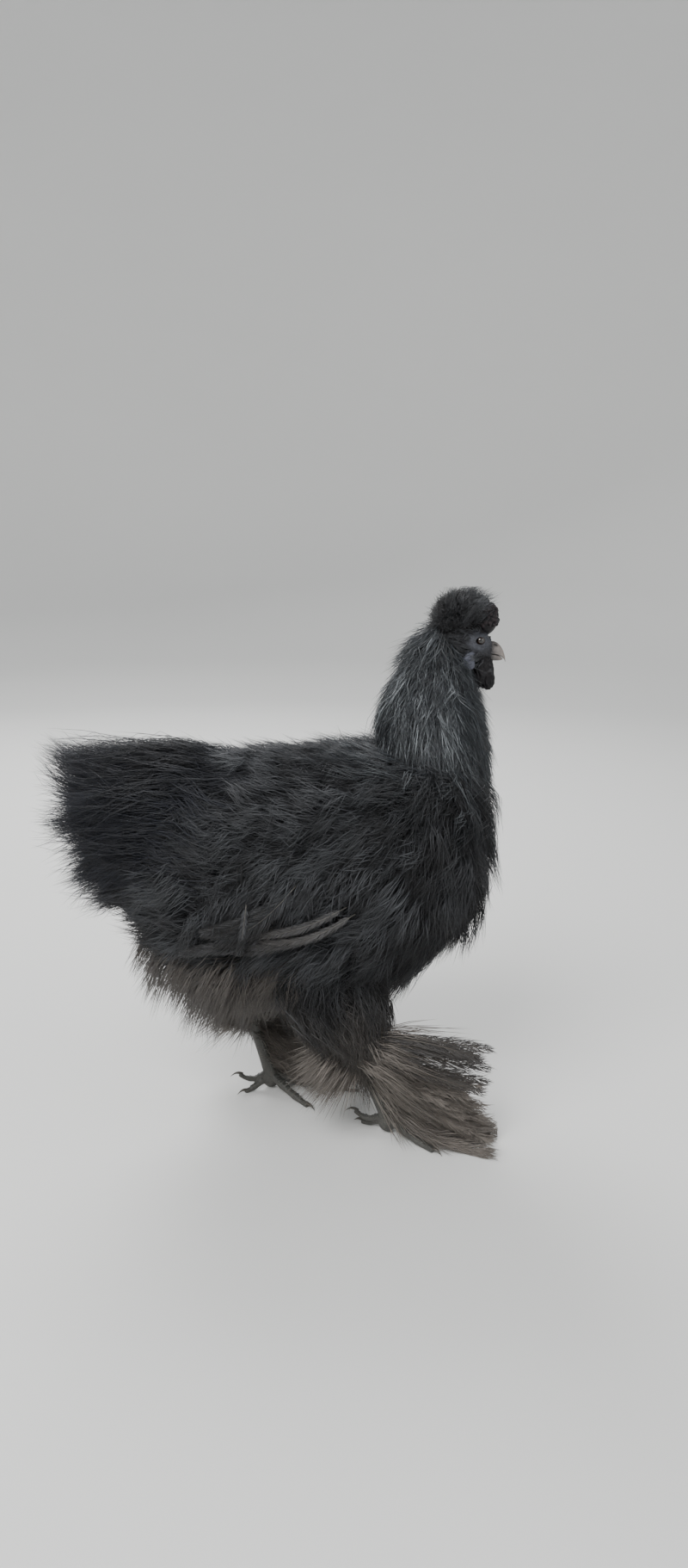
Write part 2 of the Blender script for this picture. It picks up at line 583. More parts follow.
roots = spread(torso, 430, draw, (0.30, 1.0), lambda p, u, v: (p[:, 2] < 0.150) & (p[:, 0] < 0.040) & (np.abs(p[:, 1]) < 0.062) & body_roots(p, u, v))
barbs = tufts(torso, roots, draw, 9, 0.014, (0.004, 0.010), lift=0.9, base=0.0034, wander=0.7, vary=0.5, arc=0.5, locks=5, gather=0.6,
              sag=lambda points: 0.024 + 0.024 * np.clip((0.010 - points[:, 0]) / 0.04, 0, 1))
piece = place("vent_fluff", barb_mesh("vent_fluff", barbs, 0.0006, (0.9, 1.0), draw, 9, tone_marks(barbs, draw, 0.5)), plumage)
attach(piece, "root")
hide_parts("torso")

# Saddle and tail.
# A silkie has no stiff tail quills to speak of. Long soft plumes stream back from the rump and droop,
# and their loose ends make a ragged, curling edge.

TAIL_TIPS = (
    (-0.0500, 0.2790, -0.0900, 0.1400, 0.058),
    (-0.0900, 0.2820, -0.1120, 0.1540, 0.062),
    (-0.1280, 0.2880, -0.1350, 0.1660, 0.060),
    (-0.1580, 0.2940, -0.1530, 0.1790, 0.050),
    (-0.1710, 0.2960, -0.1610, 0.1990, 0.036),
    (-0.1720, 0.2720, -0.1670, 0.2300, 0.014),
)
tail_tips = Form(TAIL_TIPS)


def sprays(core, tips, roots, draw, per, tip_span, leave, bend=0.1, base=0.002, fan=0.004, frizz=0.002,
           steps=3, short=(0.72, 1.04), droop=0.0, sink=0.001, locks=1, gather=0.0, ahead=0.0):
    """Tufts of long barbs on curves from a core to the form that their tips reach, in locks. Those
    along the top reach further by a share of ahead."""
    u, v = roots
    count = len(u)
    tuft = np.repeat(np.arange(count), per)
    member = np.tile(np.arange(per), count)
    total = count * per
    along, across, out = core.frame(u, v)
    along_way = along / np.linalg.norm(along, axis=1, keepdims=True)
    root = core.at(u, v) - out * sink
    aim_u = tip_span[0] + (tip_span[1] - tip_span[0]) * u + draw.normal(0, 0.05, count)
    tip = tips.at(aim_u, v + draw.normal(0, bend, count))
    lock = in_locks(root, draw, locks)
    tip = root + (tip - root) * (draw.uniform(*short, count)[lock] * (1 + ahead * np.cos(v)))[:, None]
    tip += (tip[lock] - tip) * gather
    reach = np.linalg.norm(tip - root, axis=1, keepdims=True)
    turning = root + (along_way * leave[0] + out * leave[1]) * reach
    start = root[tuft] + draw.normal(0, base, (total, 3))
    end = tip[tuft] + draw.normal(0, fan, (total, 3))
    end = start + (end - start) * draw.uniform(0.75, 1.08, total)[:, None]
    middle = turning[tuft] + draw.normal(0, base, (total, 3))
    path = np.empty((total, steps + 1, 3))
    for k, f in enumerate(np.linspace(0, 1, steps + 1)):
        path[:, k] = start * (1 - f) ** 2 + middle * (2 * f * (1 - f)) + end * f**2
        path[:, k] += draw.normal(0, frizz, (total, 3)) * f
        path[:, k, 2] -= droop * f**2
    return path, out[tuft], tuft, member, (u, v)


# Tail barbs: the same soft keratin, darker, with a cool blue sheen where the light rakes them
tail_barbs, tree, shader = finish_named("blue_black_tail_barbs", 0.45, IOR=1.4, Specular_IOR_Level=0.4, Sheen_Weight=0.05, Sheen_Roughness=0.4)
shader.inputs["Sheen Tint"].default_value = paint("#8f9dc4")
tone_mark = add(tree, "ShaderNodeAttribute", attribute_name="tone")
tip_mark = add(tree, "ShaderNodeAttribute", attribute_name="tip")
shade = add(tree, "ShaderNodeMix", {0: tone_mark.outputs["Fac"], 6: paint("#060709"), 7: paint("#54565d")}, data_type="RGBA")
worn = add(tree, "ShaderNodeMix", {0: tip_mark.outputs["Fac"], 6: shade.outputs[2], 7: paint("#252527")}, data_type="RGBA")
tree.links.new(worn.outputs[2], shader.inputs["Base Color"])


def tail_roots(points, u, v):
    return beyond(points, *TAIL_CUT) > -0.004


draw = np.random.default_rng(7)
roots = spread(torso, 170, draw, (0.42, 0.86), lambda p, u, v: (np.abs(v) < 1.9) & (beyond(p, *TAIL_CUT) > -0.030) & (p[:, 2] > 0.150))
barbs = tufts(torso, roots, draw, 9, 0.044, (0.005, 0.0155), lift=1.0, base=0.0034, frizz=0.0022, steps=3, wander=0.3, vary=0.35, arc=0.3,
              locks=5, gather=0.6)
piece = place("saddle", barb_mesh("saddle", barbs, 0.0006, (0.8, 1.0, 0.8), draw, 9, tone_marks(barbs, draw, 0)), tail_barbs)
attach(piece, "root")
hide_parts("torso")
for side, part in (("right", lambda v: v < 0), ("left", lambda v: v > 0)):
    roots = spread(tail, 500, draw, (0.02, 0.98), lambda p, u, v: part(v) & tail_roots(p, u, v))
    barbs = sprays(tail, tail_tips, roots, draw, 11, (0.28, 1.0), (0.42, 0.09), base=0.0034, fan=0.0030, frizz=0.0028, bend=0.3,
                   short=(0.52, 0.95), droop=0.004, locks=6, gather=0.65, ahead=0.06)
    wisp_roots = spread(tail, 230, draw, (0.05, 0.98), lambda p, u, v: part(v) & tail_roots(p, u, v))
    wisps = sprays(tail, tail_tips, wisp_roots, draw, 5, (0.30, 1.0), (0.45, 0.28), base=0.002, fan=0.0044, frizz=0.0030, bend=0.4,
                   steps=4, short=(0.70, 1.04), droop=0.006, locks=3, gather=0.6, ahead=0.04)
    for name, made, width, taper in (("tail_", barbs, 0.0007, (0.8, 1.0, 0.7)), ("tail_wisps_", wisps, 0.0006, (0.9, 1.0, 0.8, 0.6))):
        per = 11 if made is barbs else 5
        piece = place(name + side, barb_mesh(name + side, made, width, taper, draw, per, tone_marks(made, draw, 0)), tail_barbs)
        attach(piece, "root")
        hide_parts("tail")

# Hackle.
# The neck wears long slender feathers, black with silver-grey streaks, that lie down it like thatch
# and part over the shoulders. Between them shows the dark down.

# Hackle barbs: silkier than the body's, so with more gloss, grey-black with pale worn streaks
hackle_barbs, tree, shader = finish_named("silver_streaked_hackle", 0.42, IOR=1.42, Specular_IOR_Level=0.4, Sheen_Weight=0.15, Sheen_Roughness=0.4)
tone_mark = add(tree, "ShaderNodeAttribute", attribute_name="tone")
tip_mark = add(tree, "ShaderNodeAttribute", attribute_name="tip")
streak_mark = add(tree, "ShaderNodeAttribute", attribute_name="streak")
shade = add(tree, "ShaderNodeMix", {0: tone_mark.outputs["Fac"], 6: paint("#0c0e11"), 7: paint("#383c41")}, data_type="RGBA")
paled = add(tree, "ShaderNodeMapRange", {"Value": tip_mark.outputs["Fac"], "To Min": 0.35})
lit = add(tree, "ShaderNodeMath", {0: streak_mark.outputs["Fac"], 1: paled.outputs["Result"]}, operation="MULTIPLY")
silver = add(tree, "ShaderNodeMix", {0: lit.outputs["Value"], 6: shade.outputs[2], 7: paint("#a2a8ac")}, data_type="RGBA")
tree.links.new(silver.outputs[2], shader.inputs["Base Color"])


def neck_roots(points, u, v):
    return (beyond(points, (0.1250, 0, 0.3600), (0.890, 0, 0.456)) < 0) & (beyond(points, *NECK_CUT) > -0.006)


draw = np.random.default_rng(11)
HACKLE_LAYERS = (
    ("", 620, 6, 0.040, (0.003, 0.0105), 0.00062, (0.0, 0.80), 3),
    ("_fringe", 260, 6, 0.050, (0.003, 0.013), 0.00062, (0.50, 0.92), 3),
    ("_down", 400, 6, 0.018, (0.002, 0.006), 0.0006, (0.0, 0.90), 2),
    ("_throat", 240, 7, 0.022, (0.004, 0.0115), 0.0005, (0.02, 0.75), 2),
    ("_nape", 80, 6, 0.026, (0.008, 0.0150), 0.00055, (0.0, 0.24), 3),
)
for side, part in (("right", lambda v: v < 0), ("left", lambda v: v > 0)):
    for layer, count, per, length, rise, width, span, steps in HACKLE_LAYERS:
        front = 2.1 if layer == "_throat" else 0
        roots = spread(neck, count, draw, span, lambda p, u, v: part(v) & (np.abs(v) > front) & neck_roots(p, u, v))
        barbs = tufts(neck, roots, draw, per, length, rise, lift=0.9 if front else 1.1, fan=(0.1, 0.5), base=0.0022, frizz=0.0011,
                      steps=steps, wander=0.15, vary=0.4, arc=0.15, stray=0.04)
        marks = tone_marks(barbs, draw, 0)
        streaks = draw.random(barbs[2].max() + 1)[barbs[2]] * 0.75 + draw.random(len(barbs[2])) * 0.25
        pale = np.clip((2.5 - np.abs(roots[1])) / 0.6, 0.25, 1)[barbs[2]]
        marks["streak"] = np.where(streaks > 0.55, draw.uniform(0.2, 1.0, len(streaks)), 0.05) * pale * (0.35 if layer in ("_down", "_throat", "_nape") else 1)
        name = "hackle_" + side + layer
        taper = (0.7, 1.0, 0.8) if steps == 3 else (0.8, 1.0)
        piece = place(name, barb_mesh(name, barbs, width, taper, draw, per, marks), hackle_barbs)
        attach(piece, "root")
        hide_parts("neck")

roots = spread(torso, 260, draw, (0.02, 0.42), lambda p, u, v: (np.abs(v) < 2.4) & (beyond(p, *NECK_CUT) > -0.030) & (beyond(p, *NECK_CUT) < 0.004))
barbs = tufts(torso, roots, draw, 7, 0.030, (0.006, 0.014), lift=0.9, base=0.0024, frizz=0.0014, wander=0.35, vary=0.4, arc=0.25)
marks = tone_marks(barbs, draw, 0)
marks["streak"] = np.clip(draw.normal(0.0, 0.2, barbs[2].max() + 1), 0, 0.35)[barbs[2]]
piece = place("shoulder_hackle", barb_mesh("shoulder_hackle", barbs, 0.0006, (0.8, 1.0), draw, 7, marks), hackle_barbs)
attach(piece, "root")
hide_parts("torso")

# Wings.
# The folded wings are small and soft, sunk in the fluff of the flanks, which hides their upper edge.
# Along the lower edge a few flight feathers show, with pale quills.

draw = np.random.default_rng(31)
for side, hand in SIDES.items():
    form = wings[side]
    shown = ((-0.046, 0.160), (-0.040, 0.184), (0.010, 0.206), (0.032, 0.196), (0.050, 0.188), (0.050, 0.172), (0.0, 0.158))
    roots = spread(form, 500, draw, (0.0, 0.97), lambda p, u, v: (v * hand > -0.1) & ~in_outline(p, shown))
    coat = tufts(form, roots, draw, 8, 0.025, (0.003, 0.0135), turn=0.25, lift=0.9, base=0.0032, frizz=0.0020, wander=0.4, vary=0.35,
                 locks=6, gather=0.6)
    roots = spread(form, 420, draw, (0.0, 1.0), lambda p, u, v: v * hand > -0.2)
    down = tufts(form, roots, draw, 8, 0.016, (0.001, 0.004), turn=0.2, base=0.0034, steps=1, wander=0.6, vary=0.4)
    for layer, barbs, taper in (("wing_coat_", coat, (0.9, 1.0)), ("wing_down_", down, (1.0,))):
        name = layer + side
        piece = place(name, barb_mesh(name, barbs, 0.00056, taper, draw, 8, tone_marks(barbs, draw)), plumage)
        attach(piece, "root")
        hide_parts("wing_" + side)

    roots = spread(form, 120, draw, (0.15, 0.95), lambda p, u, v: (v * hand > 0.3) & (p[:, 2] > 0.186) & (p[:, 2] < 0.226) & (p[:, 0] < 0.075))
    barbs = tufts(form, roots, draw, 9, 0.022, (0.010, 0.0165), turn=0.8, lift=0.8, base=0.0030, wander=0.5, vary=0.4)
    name = "wing_coverts_" + side
    piece = place(name, barb_mesh(name, barbs, 0.0006, (0.9, 1.0), draw, 9, tone_marks(barbs, draw)), plumage)
    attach(piece, "root")
    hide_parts("wing_" + side)

# Thighs.
# Long dusty fluff hangs from the thighs and round the hocks and hides how the legs join the body.

draw = np.random.default_rng(21)
for side, hand in SIDES.items():
    form = thighs[side]
    roots = spread(form, 440, draw, (0.05, 0.99), lambda p, u, v: p[:, 1] * hand > 0.008)
    fluff = tufts(form, roots, draw, 8, 0.032, (0.003, 0.0120), lift=0.8, base=0.0028, frizz=0.0022, wander=0.35, vary=0.4, arc=0.4,
                  sag=lambda points: 0.005 + 0.007 * (points[:, 0] < form.rows[3, 0]), locks=5, gather=0.55)
    roots = spread(form, 420, draw, (0.05, 1.0), lambda p, u, v: p[:, 1] * hand > 0.004)
    down = tufts(form, roots, draw, 8, 0.018, (0.002, 0.006), base=0.0030, frizz=0.0020, steps=1, wander=0.6, vary=0.4)
    for layer, barbs, taper in (("thigh_fluff_", fluff, (0.9, 1.0)), ("thigh_down_", down, (1.0,))):
        name = layer + side
        piece = place(name, barb_mesh(name, barbs, 0.00056, taper, draw, 8, tone_marks(barbs, draw)), plumage)
        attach(piece, "root")
        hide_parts("thigh_" + side)

# Crest.
# A loose tuft of fine barbs stands behind the comb, swept up and back into wisps.

CREST_TIPS = (
    (0.1560, 0.3900, 0.1550, 0.3810, 0.0085),
    (0.1510, 0.3955, 0.1470, 0.3770, 0.0170),
    (0.1430, 0.3992, 0.1370, 0.3710, 0.0220),
    (0.1330, 0.3996, 0.1270, 0.3650, 0.0220),
    (0.1225, 0.3960, 0.1170, 0.3640, 0.0190),
    (0.1145, 0.3880, 0.1110, 0.3670, 0.0120),
    (0.1085, 0.3800, 0.1070, 0.3700, 0.0040),
)
draw = np.random.default_rng(3)
for name, count, per, short, width, steps, taper in (
    ("crest_barbs", 520, 8, (0.55, 1.02), 0.00045, 3, (0.8, 1.0, 0.7)),
    ("crest_wisps", 150, 5, (0.84, 1.10), 0.0004, 4, (0.8, 1.0, 0.8, 0.6)),
):
    roots = spread(crest, count, draw, (0.02, 0.98), lambda p, u, v: beyond(p, (0.1150, 0, 0.3700), (-0.240, 0, 0.971)) > -0.002)
    barbs = sprays(crest, Form(CREST_TIPS), roots, draw, per, (0.05, 0.98), (0.46, 0.20), bend=0.4, base=0.0014, fan=0.0024,
                   frizz=0.0016, steps=steps, short=short, locks=4 if steps == 3 else 1, gather=0.5)
    piece = place(name, barb_mesh(name, barbs, width, taper, draw, per, tone_marks(barbs, draw, 0)), plumage)
    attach(piece, "root")
    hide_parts("crest")

# Shanks and toes.
# The shanks are slate-dark, with overlapping scutes down the front and along the tops of the toes and
# fine pebbled scales between. A silkie has five toes, with pads and three joints, and blunt claws.

HOCK = {"right": (0.0560, -0.0390, 0.0760), "left": (-0.0290, 0.0370, 0.0790)}
ANKLE = {"right": (0.0830, -0.0340, 0.0120), "left": (-0.0080, 0.0310, 0.0120)}
HEADING = {"right": math.radians(-4), "left": math.radians(-2)}
SHANK = ((-0.10, 0.0050), (0.04, 0.0064), (0.18, 0.0054), (0.50, 0.0047), (0.82, 0.0051), (1.04, 0.0059))
TOES = (
    (0.0560, math.radians(2), 0.0041, (0, 0, 0), 0),
    (0.0430, math.radians(38), 0.0036, (0, 0, 0), 0),
    (0.0440, math.radians(-44), 0.0036, (0, 0, 0), 0),
    (0.0200, math.radians(-150), 0.0032, (-0.0020, 0, 0), 0),
    (0.0240, math.radians(-168), 0.0030, (-0.0010, 0, 0.0040), 0.0120),
)


def tube(path, radii, sides=16, axis=None):
    """A round form of changing radius along a path, as points and faces."""
    path = np.array(path, dtype=float)
    points, faces = [], []
    for k, point in enumerate(path):
        way = Vector(path[min(k + 1, len(path) - 1)] - path[max(k - 1, 0)]).normalized()
        across = way.cross(Vector(axis or ((0, 1, 0) if abs(way.y) < 0.9 else (0, 0, 1)))).normalized()
        up = across.cross(way)
        for i in range(sides):
            turn = 2 * math.pi * i / sides
            points.append(Vector(point) + (across * math.cos(turn) + up * math.sin(turn)) * radii[k])
    for k in range(len(path) - 1):
        for i in range(sides):
            a, b = k * sides + i, k * sides + (i + 1) % sides
            faces.append((a, b, b + sides, a + sides))
    faces += [tuple(range(sides)), tuple(range((len(path) - 1) * sides, len(path) * sides))]
    return points, faces


def ball(spot, radii, sides=16):
    """An ellipsoid, as points and faces."""
    form = bmesh.new()
    bmesh.ops.create_uvsphere(form, u_segments=sides, v_segments=sides // 2, radius=1)
    points = [Vector(spot) + Vector([a * b for a, b in zip(v.co, radii)]) for v in form.verts]
    form.verts.index_update()
    faces = [tuple(v.index for v in face.verts) for face in form.faces]
    form.free()
    return points, faces


def toe_path(side, toe, steps=22):
    """The middle line of a toe, its radii and its heading."""
    length, angle, radius, shift, rise = toe
    root = Vector(ANKLE[side]) + Vector(shift)
    bearing = HEADING[side] + SIDES[side] * angle
    ahead = Vector((math.cos(bearing), math.sin(bearing), 0))
    path, radii = [], []
    for k in range(steps):
        f = k / (steps - 1)
        thick = radius * (1 - 0.42 * f) * (1 + 0.08 * math.cos(f * 6 * math.pi))
        low = thick - 0.0004
        height = max(root.z * (1 - f) ** 2 + low * (1 - (1 - f) ** 2) + rise * f * f, low)
        path.append(Vector((root.x, root.y, 0)) + ahead * (length * f) + Vector((0, 0, height)))
        radii.append(thick)
    return path, radii, ahead


# Leg skin: horny slate-black scales with dusty furrows between, half matt
leg_skin, tree, shader = finish_named("slate_leg_scales", 0.5, IOR=1.5)
where = add(tree, "ShaderNodeTexCoord")
cells = add(tree, "ShaderNodeTexVoronoi", {"Vector": where.outputs["Object"], "Scale": 700.0}, feature="DISTANCE_TO_EDGE")
furrow = add(tree, "ShaderNodeMapRange", {"Value": cells.outputs["Distance"], "From Max": 0.12})
smudge = add(tree, "ShaderNodeTexNoise", {"Vector": where.outputs["Object"], "Scale": 110.0, "Detail": 4.0})
horn = add(tree, "ShaderNodeMix", {0: smudge.outputs["Fac"], 6: paint("#2c2e2e"), 7: paint("#4a4a46")}, data_type="RGBA")
scaled = add(tree, "ShaderNodeMix", {0: furrow.outputs["Result"], 6: paint("#55524c"), 7: horn.outputs[2]}, data_type="RGBA")
bump = add(tree, "ShaderNodeBump", {"Height": furrow.outputs["Result"], "Strength": 0.6, "Distance": 0.0003})
tree.links.new(scaled.outputs[2], shader.inputs["Base Color"])
tree.links.new(bump.outputs["Normal"], shader.inputs["Normal"])

# Scutes: the same horn in smooth plates, a little glossier than the pebbled skin
scute_horn, tree, shader = finish_named("slate_scutes", 0.4, IOR=1.5)
where = add(tree, "ShaderNodeTexCoord")
smudge = add(tree, "ShaderNodeTexNoise", {"Vector": where.outputs["Object"], "Scale": 160.0, "Detail": 4.0})
horn = add(tree, "ShaderNodeMix", {0: smudge.outputs["Fac"], 6: paint("#303232"), 7: paint("#54544f")}, data_type="RGBA")
tree.links.new(horn.outputs[2], shader.inputs["Base Color"])

# Claws: dark horn, paler and a little translucent-looking at the tip
claw_horn, tree, shader = finish_named("claw_horn", 0.35, IOR=1.54)
where = add(tree, "ShaderNodeTexCoord")
grain = add(tree, "ShaderNodeTexNoise", {"Vector": where.outputs["Object"], "Scale": 300.0})
horn = add(tree, "ShaderNodeMix", {0: grain.outputs["Fac"], 6: paint("#2b2926"), 7: paint("#4d4841")}, data_type="RGBA")
tree.links.new(horn.outputs[2], shader.inputs["Base Color"])


def plates(name, spots, ways, faces_out, sizes, material):
    """Scutes on a row of spots: flattened, overlapping plates made by a node tree and then fixed."""
    row = bpy.data.meshes.new(name)
    row.from_pydata([tuple(p) for p in spots], [], [])
    for key, values in (("way", ways), ("face_out", faces_out)):
        layer = row.attributes.new(key, "FLOAT_VECTOR", "POINT")
        layer.data.foreach_set("vector", np.array(values, dtype=np.float32).reshape(-1))
    layer = row.attributes.new("size", "FLOAT", "POINT")
    layer.data.foreach_set("value", np.array(sizes, dtype=np.float32))
    nodes = bpy.data.node_groups.new(name, "GeometryNodeTree")
    nodes.interface.new_socket("Geometry", in_out="INPUT", socket_type="NodeSocketGeometry")
    keys = {}
    for label, value in (("Length", 0.62), ("Width", 1.0), ("Thickness", 0.30), ("Tilt", 0.12)):
        socket = nodes.interface.new_socket(label, in_out="INPUT", socket_type="NodeSocketFloat")
        keys[label] = (socket.identifier, value)
    nodes.interface.new_socket("Geometry", in_out="OUTPUT", socket_type="NodeSocketGeometry")
    given = add(nodes, "NodeGroupInput")
    plate = add(nodes, "GeometryNodeMeshUVSphere", {"Segments": 14, "Rings": 8, "Radius": 1.0})
    shape = add(nodes, "ShaderNodeCombineXYZ", {"X": given.outputs["Length"], "Y": given.outputs["Width"], "Z": given.outputs["Thickness"]})
    tilt = add(nodes, "ShaderNodeCombineXYZ", {"Y": given.outputs["Tilt"]})
    shaped = add(nodes, "GeometryNodeTransform", {"Geometry": plate.outputs["Mesh"], "Rotation": tilt.outputs["Vector"], "Scale": shape.outputs["Vector"]})
    way = add(nodes, "GeometryNodeInputNamedAttribute", {"Name": "way"}, data_type="FLOAT_VECTOR")
    face = add(nodes, "GeometryNodeInputNamedAttribute", {"Name": "face_out"}, data_type="FLOAT_VECTOR")
    size = add(nodes, "GeometryNodeInputNamedAttribute", {"Name": "size"}, data_type="FLOAT")
    upright = add(nodes, "FunctionNodeAlignRotationToVector", {"Vector": face.outputs["Attribute"]}, axis="Z")
    turned = add(nodes, "FunctionNodeAlignRotationToVector", {"Rotation": upright.outputs["Rotation"], "Vector": way.outputs["Attribute"]}, axis="X", pivot_axis="Z")
    rowed = add(nodes, "GeometryNodeInstanceOnPoints", {"Points": given.outputs["Geometry"], "Instance": shaped.outputs["Geometry"],
        "Rotation": turned.outputs["Rotation"], "Scale": size.outputs["Attribute"]})
    real = add(nodes, "GeometryNodeRealizeInstances", {"Geometry": rowed.outputs["Instances"]})
    coated = add(nodes, "GeometryNodeSetMaterial", {"Geometry": real.outputs["Geometry"], "Material": material})
    add(nodes, "NodeGroupOutput", {"Geometry": coated.outputs["Geometry"]})
    made = place(name, row)
    modifier = made.modifiers.new("plates", "NODES")
    modifier.node_group = nodes
    for identifier, value in keys.values():
        modifier[identifier] = value
    result = bpy.data.meshes.new_from_object(made.evaluated_get(bpy.context.evaluated_depsgraph_get()))
    made.modifiers.clear()
    made.data = result
    result.name = name
    bpy.data.meshes.remove(row)
    for corner in result.vertices:
        corner.co.z = max(corner.co.z, 0.0002)
    result.shade_smooth()
    return made


for side, hand in SIDES.items():
    hock, ankle = Vector(HOCK[side]), Vector(ANKLE[side])
    fractions = np.linspace(-0.10, 1.04, 24)
    shank_path = [hock.lerp(ankle, f) for f in fractions]
    shank_radii = np.interp(fractions, *zip(*SHANK))
    forms = [tube(shank_path, shank_radii, 20), ball(ankle - Vector((0, 0, 0.0036)), (0.0074, 0.0064, 0.0080))]
    spots, ways, outs, sizes = [], [], [], []
    down = (ankle - hock).normalized()
    front = Vector((math.cos(HEADING[side]), math.sin(HEADING[side]), 0))
    front = (front - down * front.dot(down)).normalized()
    for column, spread_by in ((-1, 0.62), (1, 0.62)):
        for k in range(21):
            f = 0.12 + 0.86 * (k + 0.25 * (column > 0)) / 21
            radius = float(np.interp(f, *zip(*SHANK)))
            out = (front * math.cos(spread_by) + front.cross(down) * (column * math.sin(spread_by))).normalized()
            spots.append(hock.lerp(ankle, f) + out * (radius - 0.0007))
            ways.append(down)
            outs.append(out)
            sizes.append(0.0031)
    claws = bmesh.new()
    for toe in TOES:
        path, radii, ahead = toe_path(side, toe)
        forms.append(tube(path, radii))
        forms += [ball(path[k] - Vector((0, 0, radii[k] * 0.25)), (radii[k] * 1.1, radii[k] * 0.95, radii[k] * 0.75)) for k in (7, 14, 20)]
        count = int(toe[0] / 0.0026)
        for k in range(2, count):
            f = k / count
            i = min(int(f * 21), 20)
            spot = path[i].lerp(path[i + 1], f * 21 - i)
            way = (path[i + 1] - path[i]).normalized()
            out = (Vector((0, 0, 1)) - way * way.z).normalized()
            spots.append(spot + out * (radii[i] - 0.0006))
            ways.append(way)
            outs.append(out)
            sizes.append(radii[i] * 0.86)
        steps = 10
        points, faces = tube(
            [path[-1] + ahead * (0.0100 * (k / steps - 0.22)) + Vector((0, 0, 0.0017 * (math.sin(math.pi * k / steps) - (k / steps) ** 2))) for k in range(steps + 1)],
            [max(radii[-1] * 0.66 * (1 - (k / steps) ** 1.6), 0.00012) for k in range(steps + 1)],
            12,
        )
        corners = [claws.verts.new((p.x, p.y, max(p.z, 0.0003))) for p in points]
        for face in faces:
            claws.faces.new([corners[k] for k in face])
    leg = moulded("leg_skin_" + side, forms, 0.0007, 3)
    for corner in leg.data.vertices:
        corner.co.z = max(corner.co.z, 0.0002)
    leg.data.materials.append(leg_skin)
    scutes = plates("scutes_" + side, spots, ways, outs, sizes, scute_horn)
    bmesh.ops.recalc_face_normals(claws, faces=claws.faces)
    claw_mesh = bpy.data.meshes.new("claws_" + side)
    claws.to_mesh(claw_mesh)
    claws.free()
    claw_mesh.shade_smooth()
    for piece in (leg, scutes, place("claws_" + side, claw_mesh, claw_horn)):
        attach(piece, "root")
        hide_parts("shank_" + side, "foot_" + side)

# Leg feathers.
# Stiff dusty feathers fan out from the outer side of the hock, shank and outer toes, each with a
# dark quill and loose barbs, and soft fluff fills the gaps between them.

# Quill: smooth keratin, brown-grey, glossier than the barbs
quill, tree, shader = finish_named("feather_quill", 0.35, IOR=1.54)
where = add(tree, "ShaderNodeTexCoord")
grain = add(tree, "ShaderNodeTexNoise", {"Vector": where.outputs["Object"], "Scale": 90.0})
horn = add(tree, "ShaderNodeMix", {0: grain.outputs["Fac"], 6: paint("#37332f"), 7: paint("#6e675e")}, data_type="RGBA")
tree.links.new(horn.outputs[2], shader.inputs["Base Color"])


def vane_barbs(shafts, ups, half_width, draw, pairs, angle=0.62, curl=0.2, loose=0.001, steps=2):
    """Barbs along both edges of feathers. Each shaft is a row of points from its root to its tip."""
    paths, outs, tuft, place_u, place_v = [], [], [], [], []
    for number, (shaft, up) in enumerate(zip(shafts, ups)):
        shaft = np.array(shaft)
        marks = np.linspace(0.06, 1.0, pairs)
        spot = np.stack([np.interp(marks, np.linspace(0, 1, len(shaft)), shaft[:, i]) for i in range(3)], 1)
        way = np.gradient(spot, axis=0)
        way /= np.linalg.norm(way, axis=1, keepdims=True) + 1e-12
        across = np.cross(way, up)
        across /= np.linalg.norm(across, axis=1, keepdims=True) + 1e-12
        shape = np.sqrt(np.clip(np.sin(np.pi * np.clip(marks * 0.86 + 0.12, 0, 1)), 0.02, 1))
        for hand in (-1, 1):
            reach = half_width * shape * draw.uniform(0.8, 1.12, pairs) / math.sin(angle)
            path = np.empty((pairs, steps + 1, 3))
            for k, f in enumerate(np.linspace(0, 1, steps + 1)):
                lean = angle * (1 - curl * f) + draw.normal(0, 0.05, pairs)
                out = (way * np.cos(lean)[:, None] + across * (hand * np.sin(lean))[:, None]) * (reach * f)[:, None]
                path[:, k] = spot + out + draw.normal(0, loose, (pairs, 3)) * f
            paths.append(path)
            outs.append(np.broadcast_to(up, (pairs, 3)))
            tuft.append(np.full(pairs, number))
            place_u.append(marks)
            place_v.append(np.full(pairs, (number + (0.75 if hand > 0 else 0.25)) / len(shafts) * 2 * math.pi - math.pi))
    path = np.concatenate(paths)
    row = np.arange(len(path))
    return path, np.concatenate(outs), row, row * 0, (np.concatenate(place_u), np.concatenate(place_v))


def quills(name, shafts, radius):
    """The shafts of feathers, as one mesh."""
    joined = bmesh.new()
    for shaft in shafts:
        thin = [radius * (1 - 0.85 * k / (len(shaft) - 1)) for k in range(len(shaft))]
        points, faces = tube(shaft, thin, 6)
        corners = [joined.verts.new(p) for p in points]
        for face in faces:
            joined.faces.new([corners[k] for k in face])
    bmesh.ops.recalc_face_normals(joined, faces=joined.faces)
    mesh = bpy.data.meshes.new(name)
    joined.to_mesh(mesh)
    joined.free()
    mesh.shade_smooth()
    return mesh


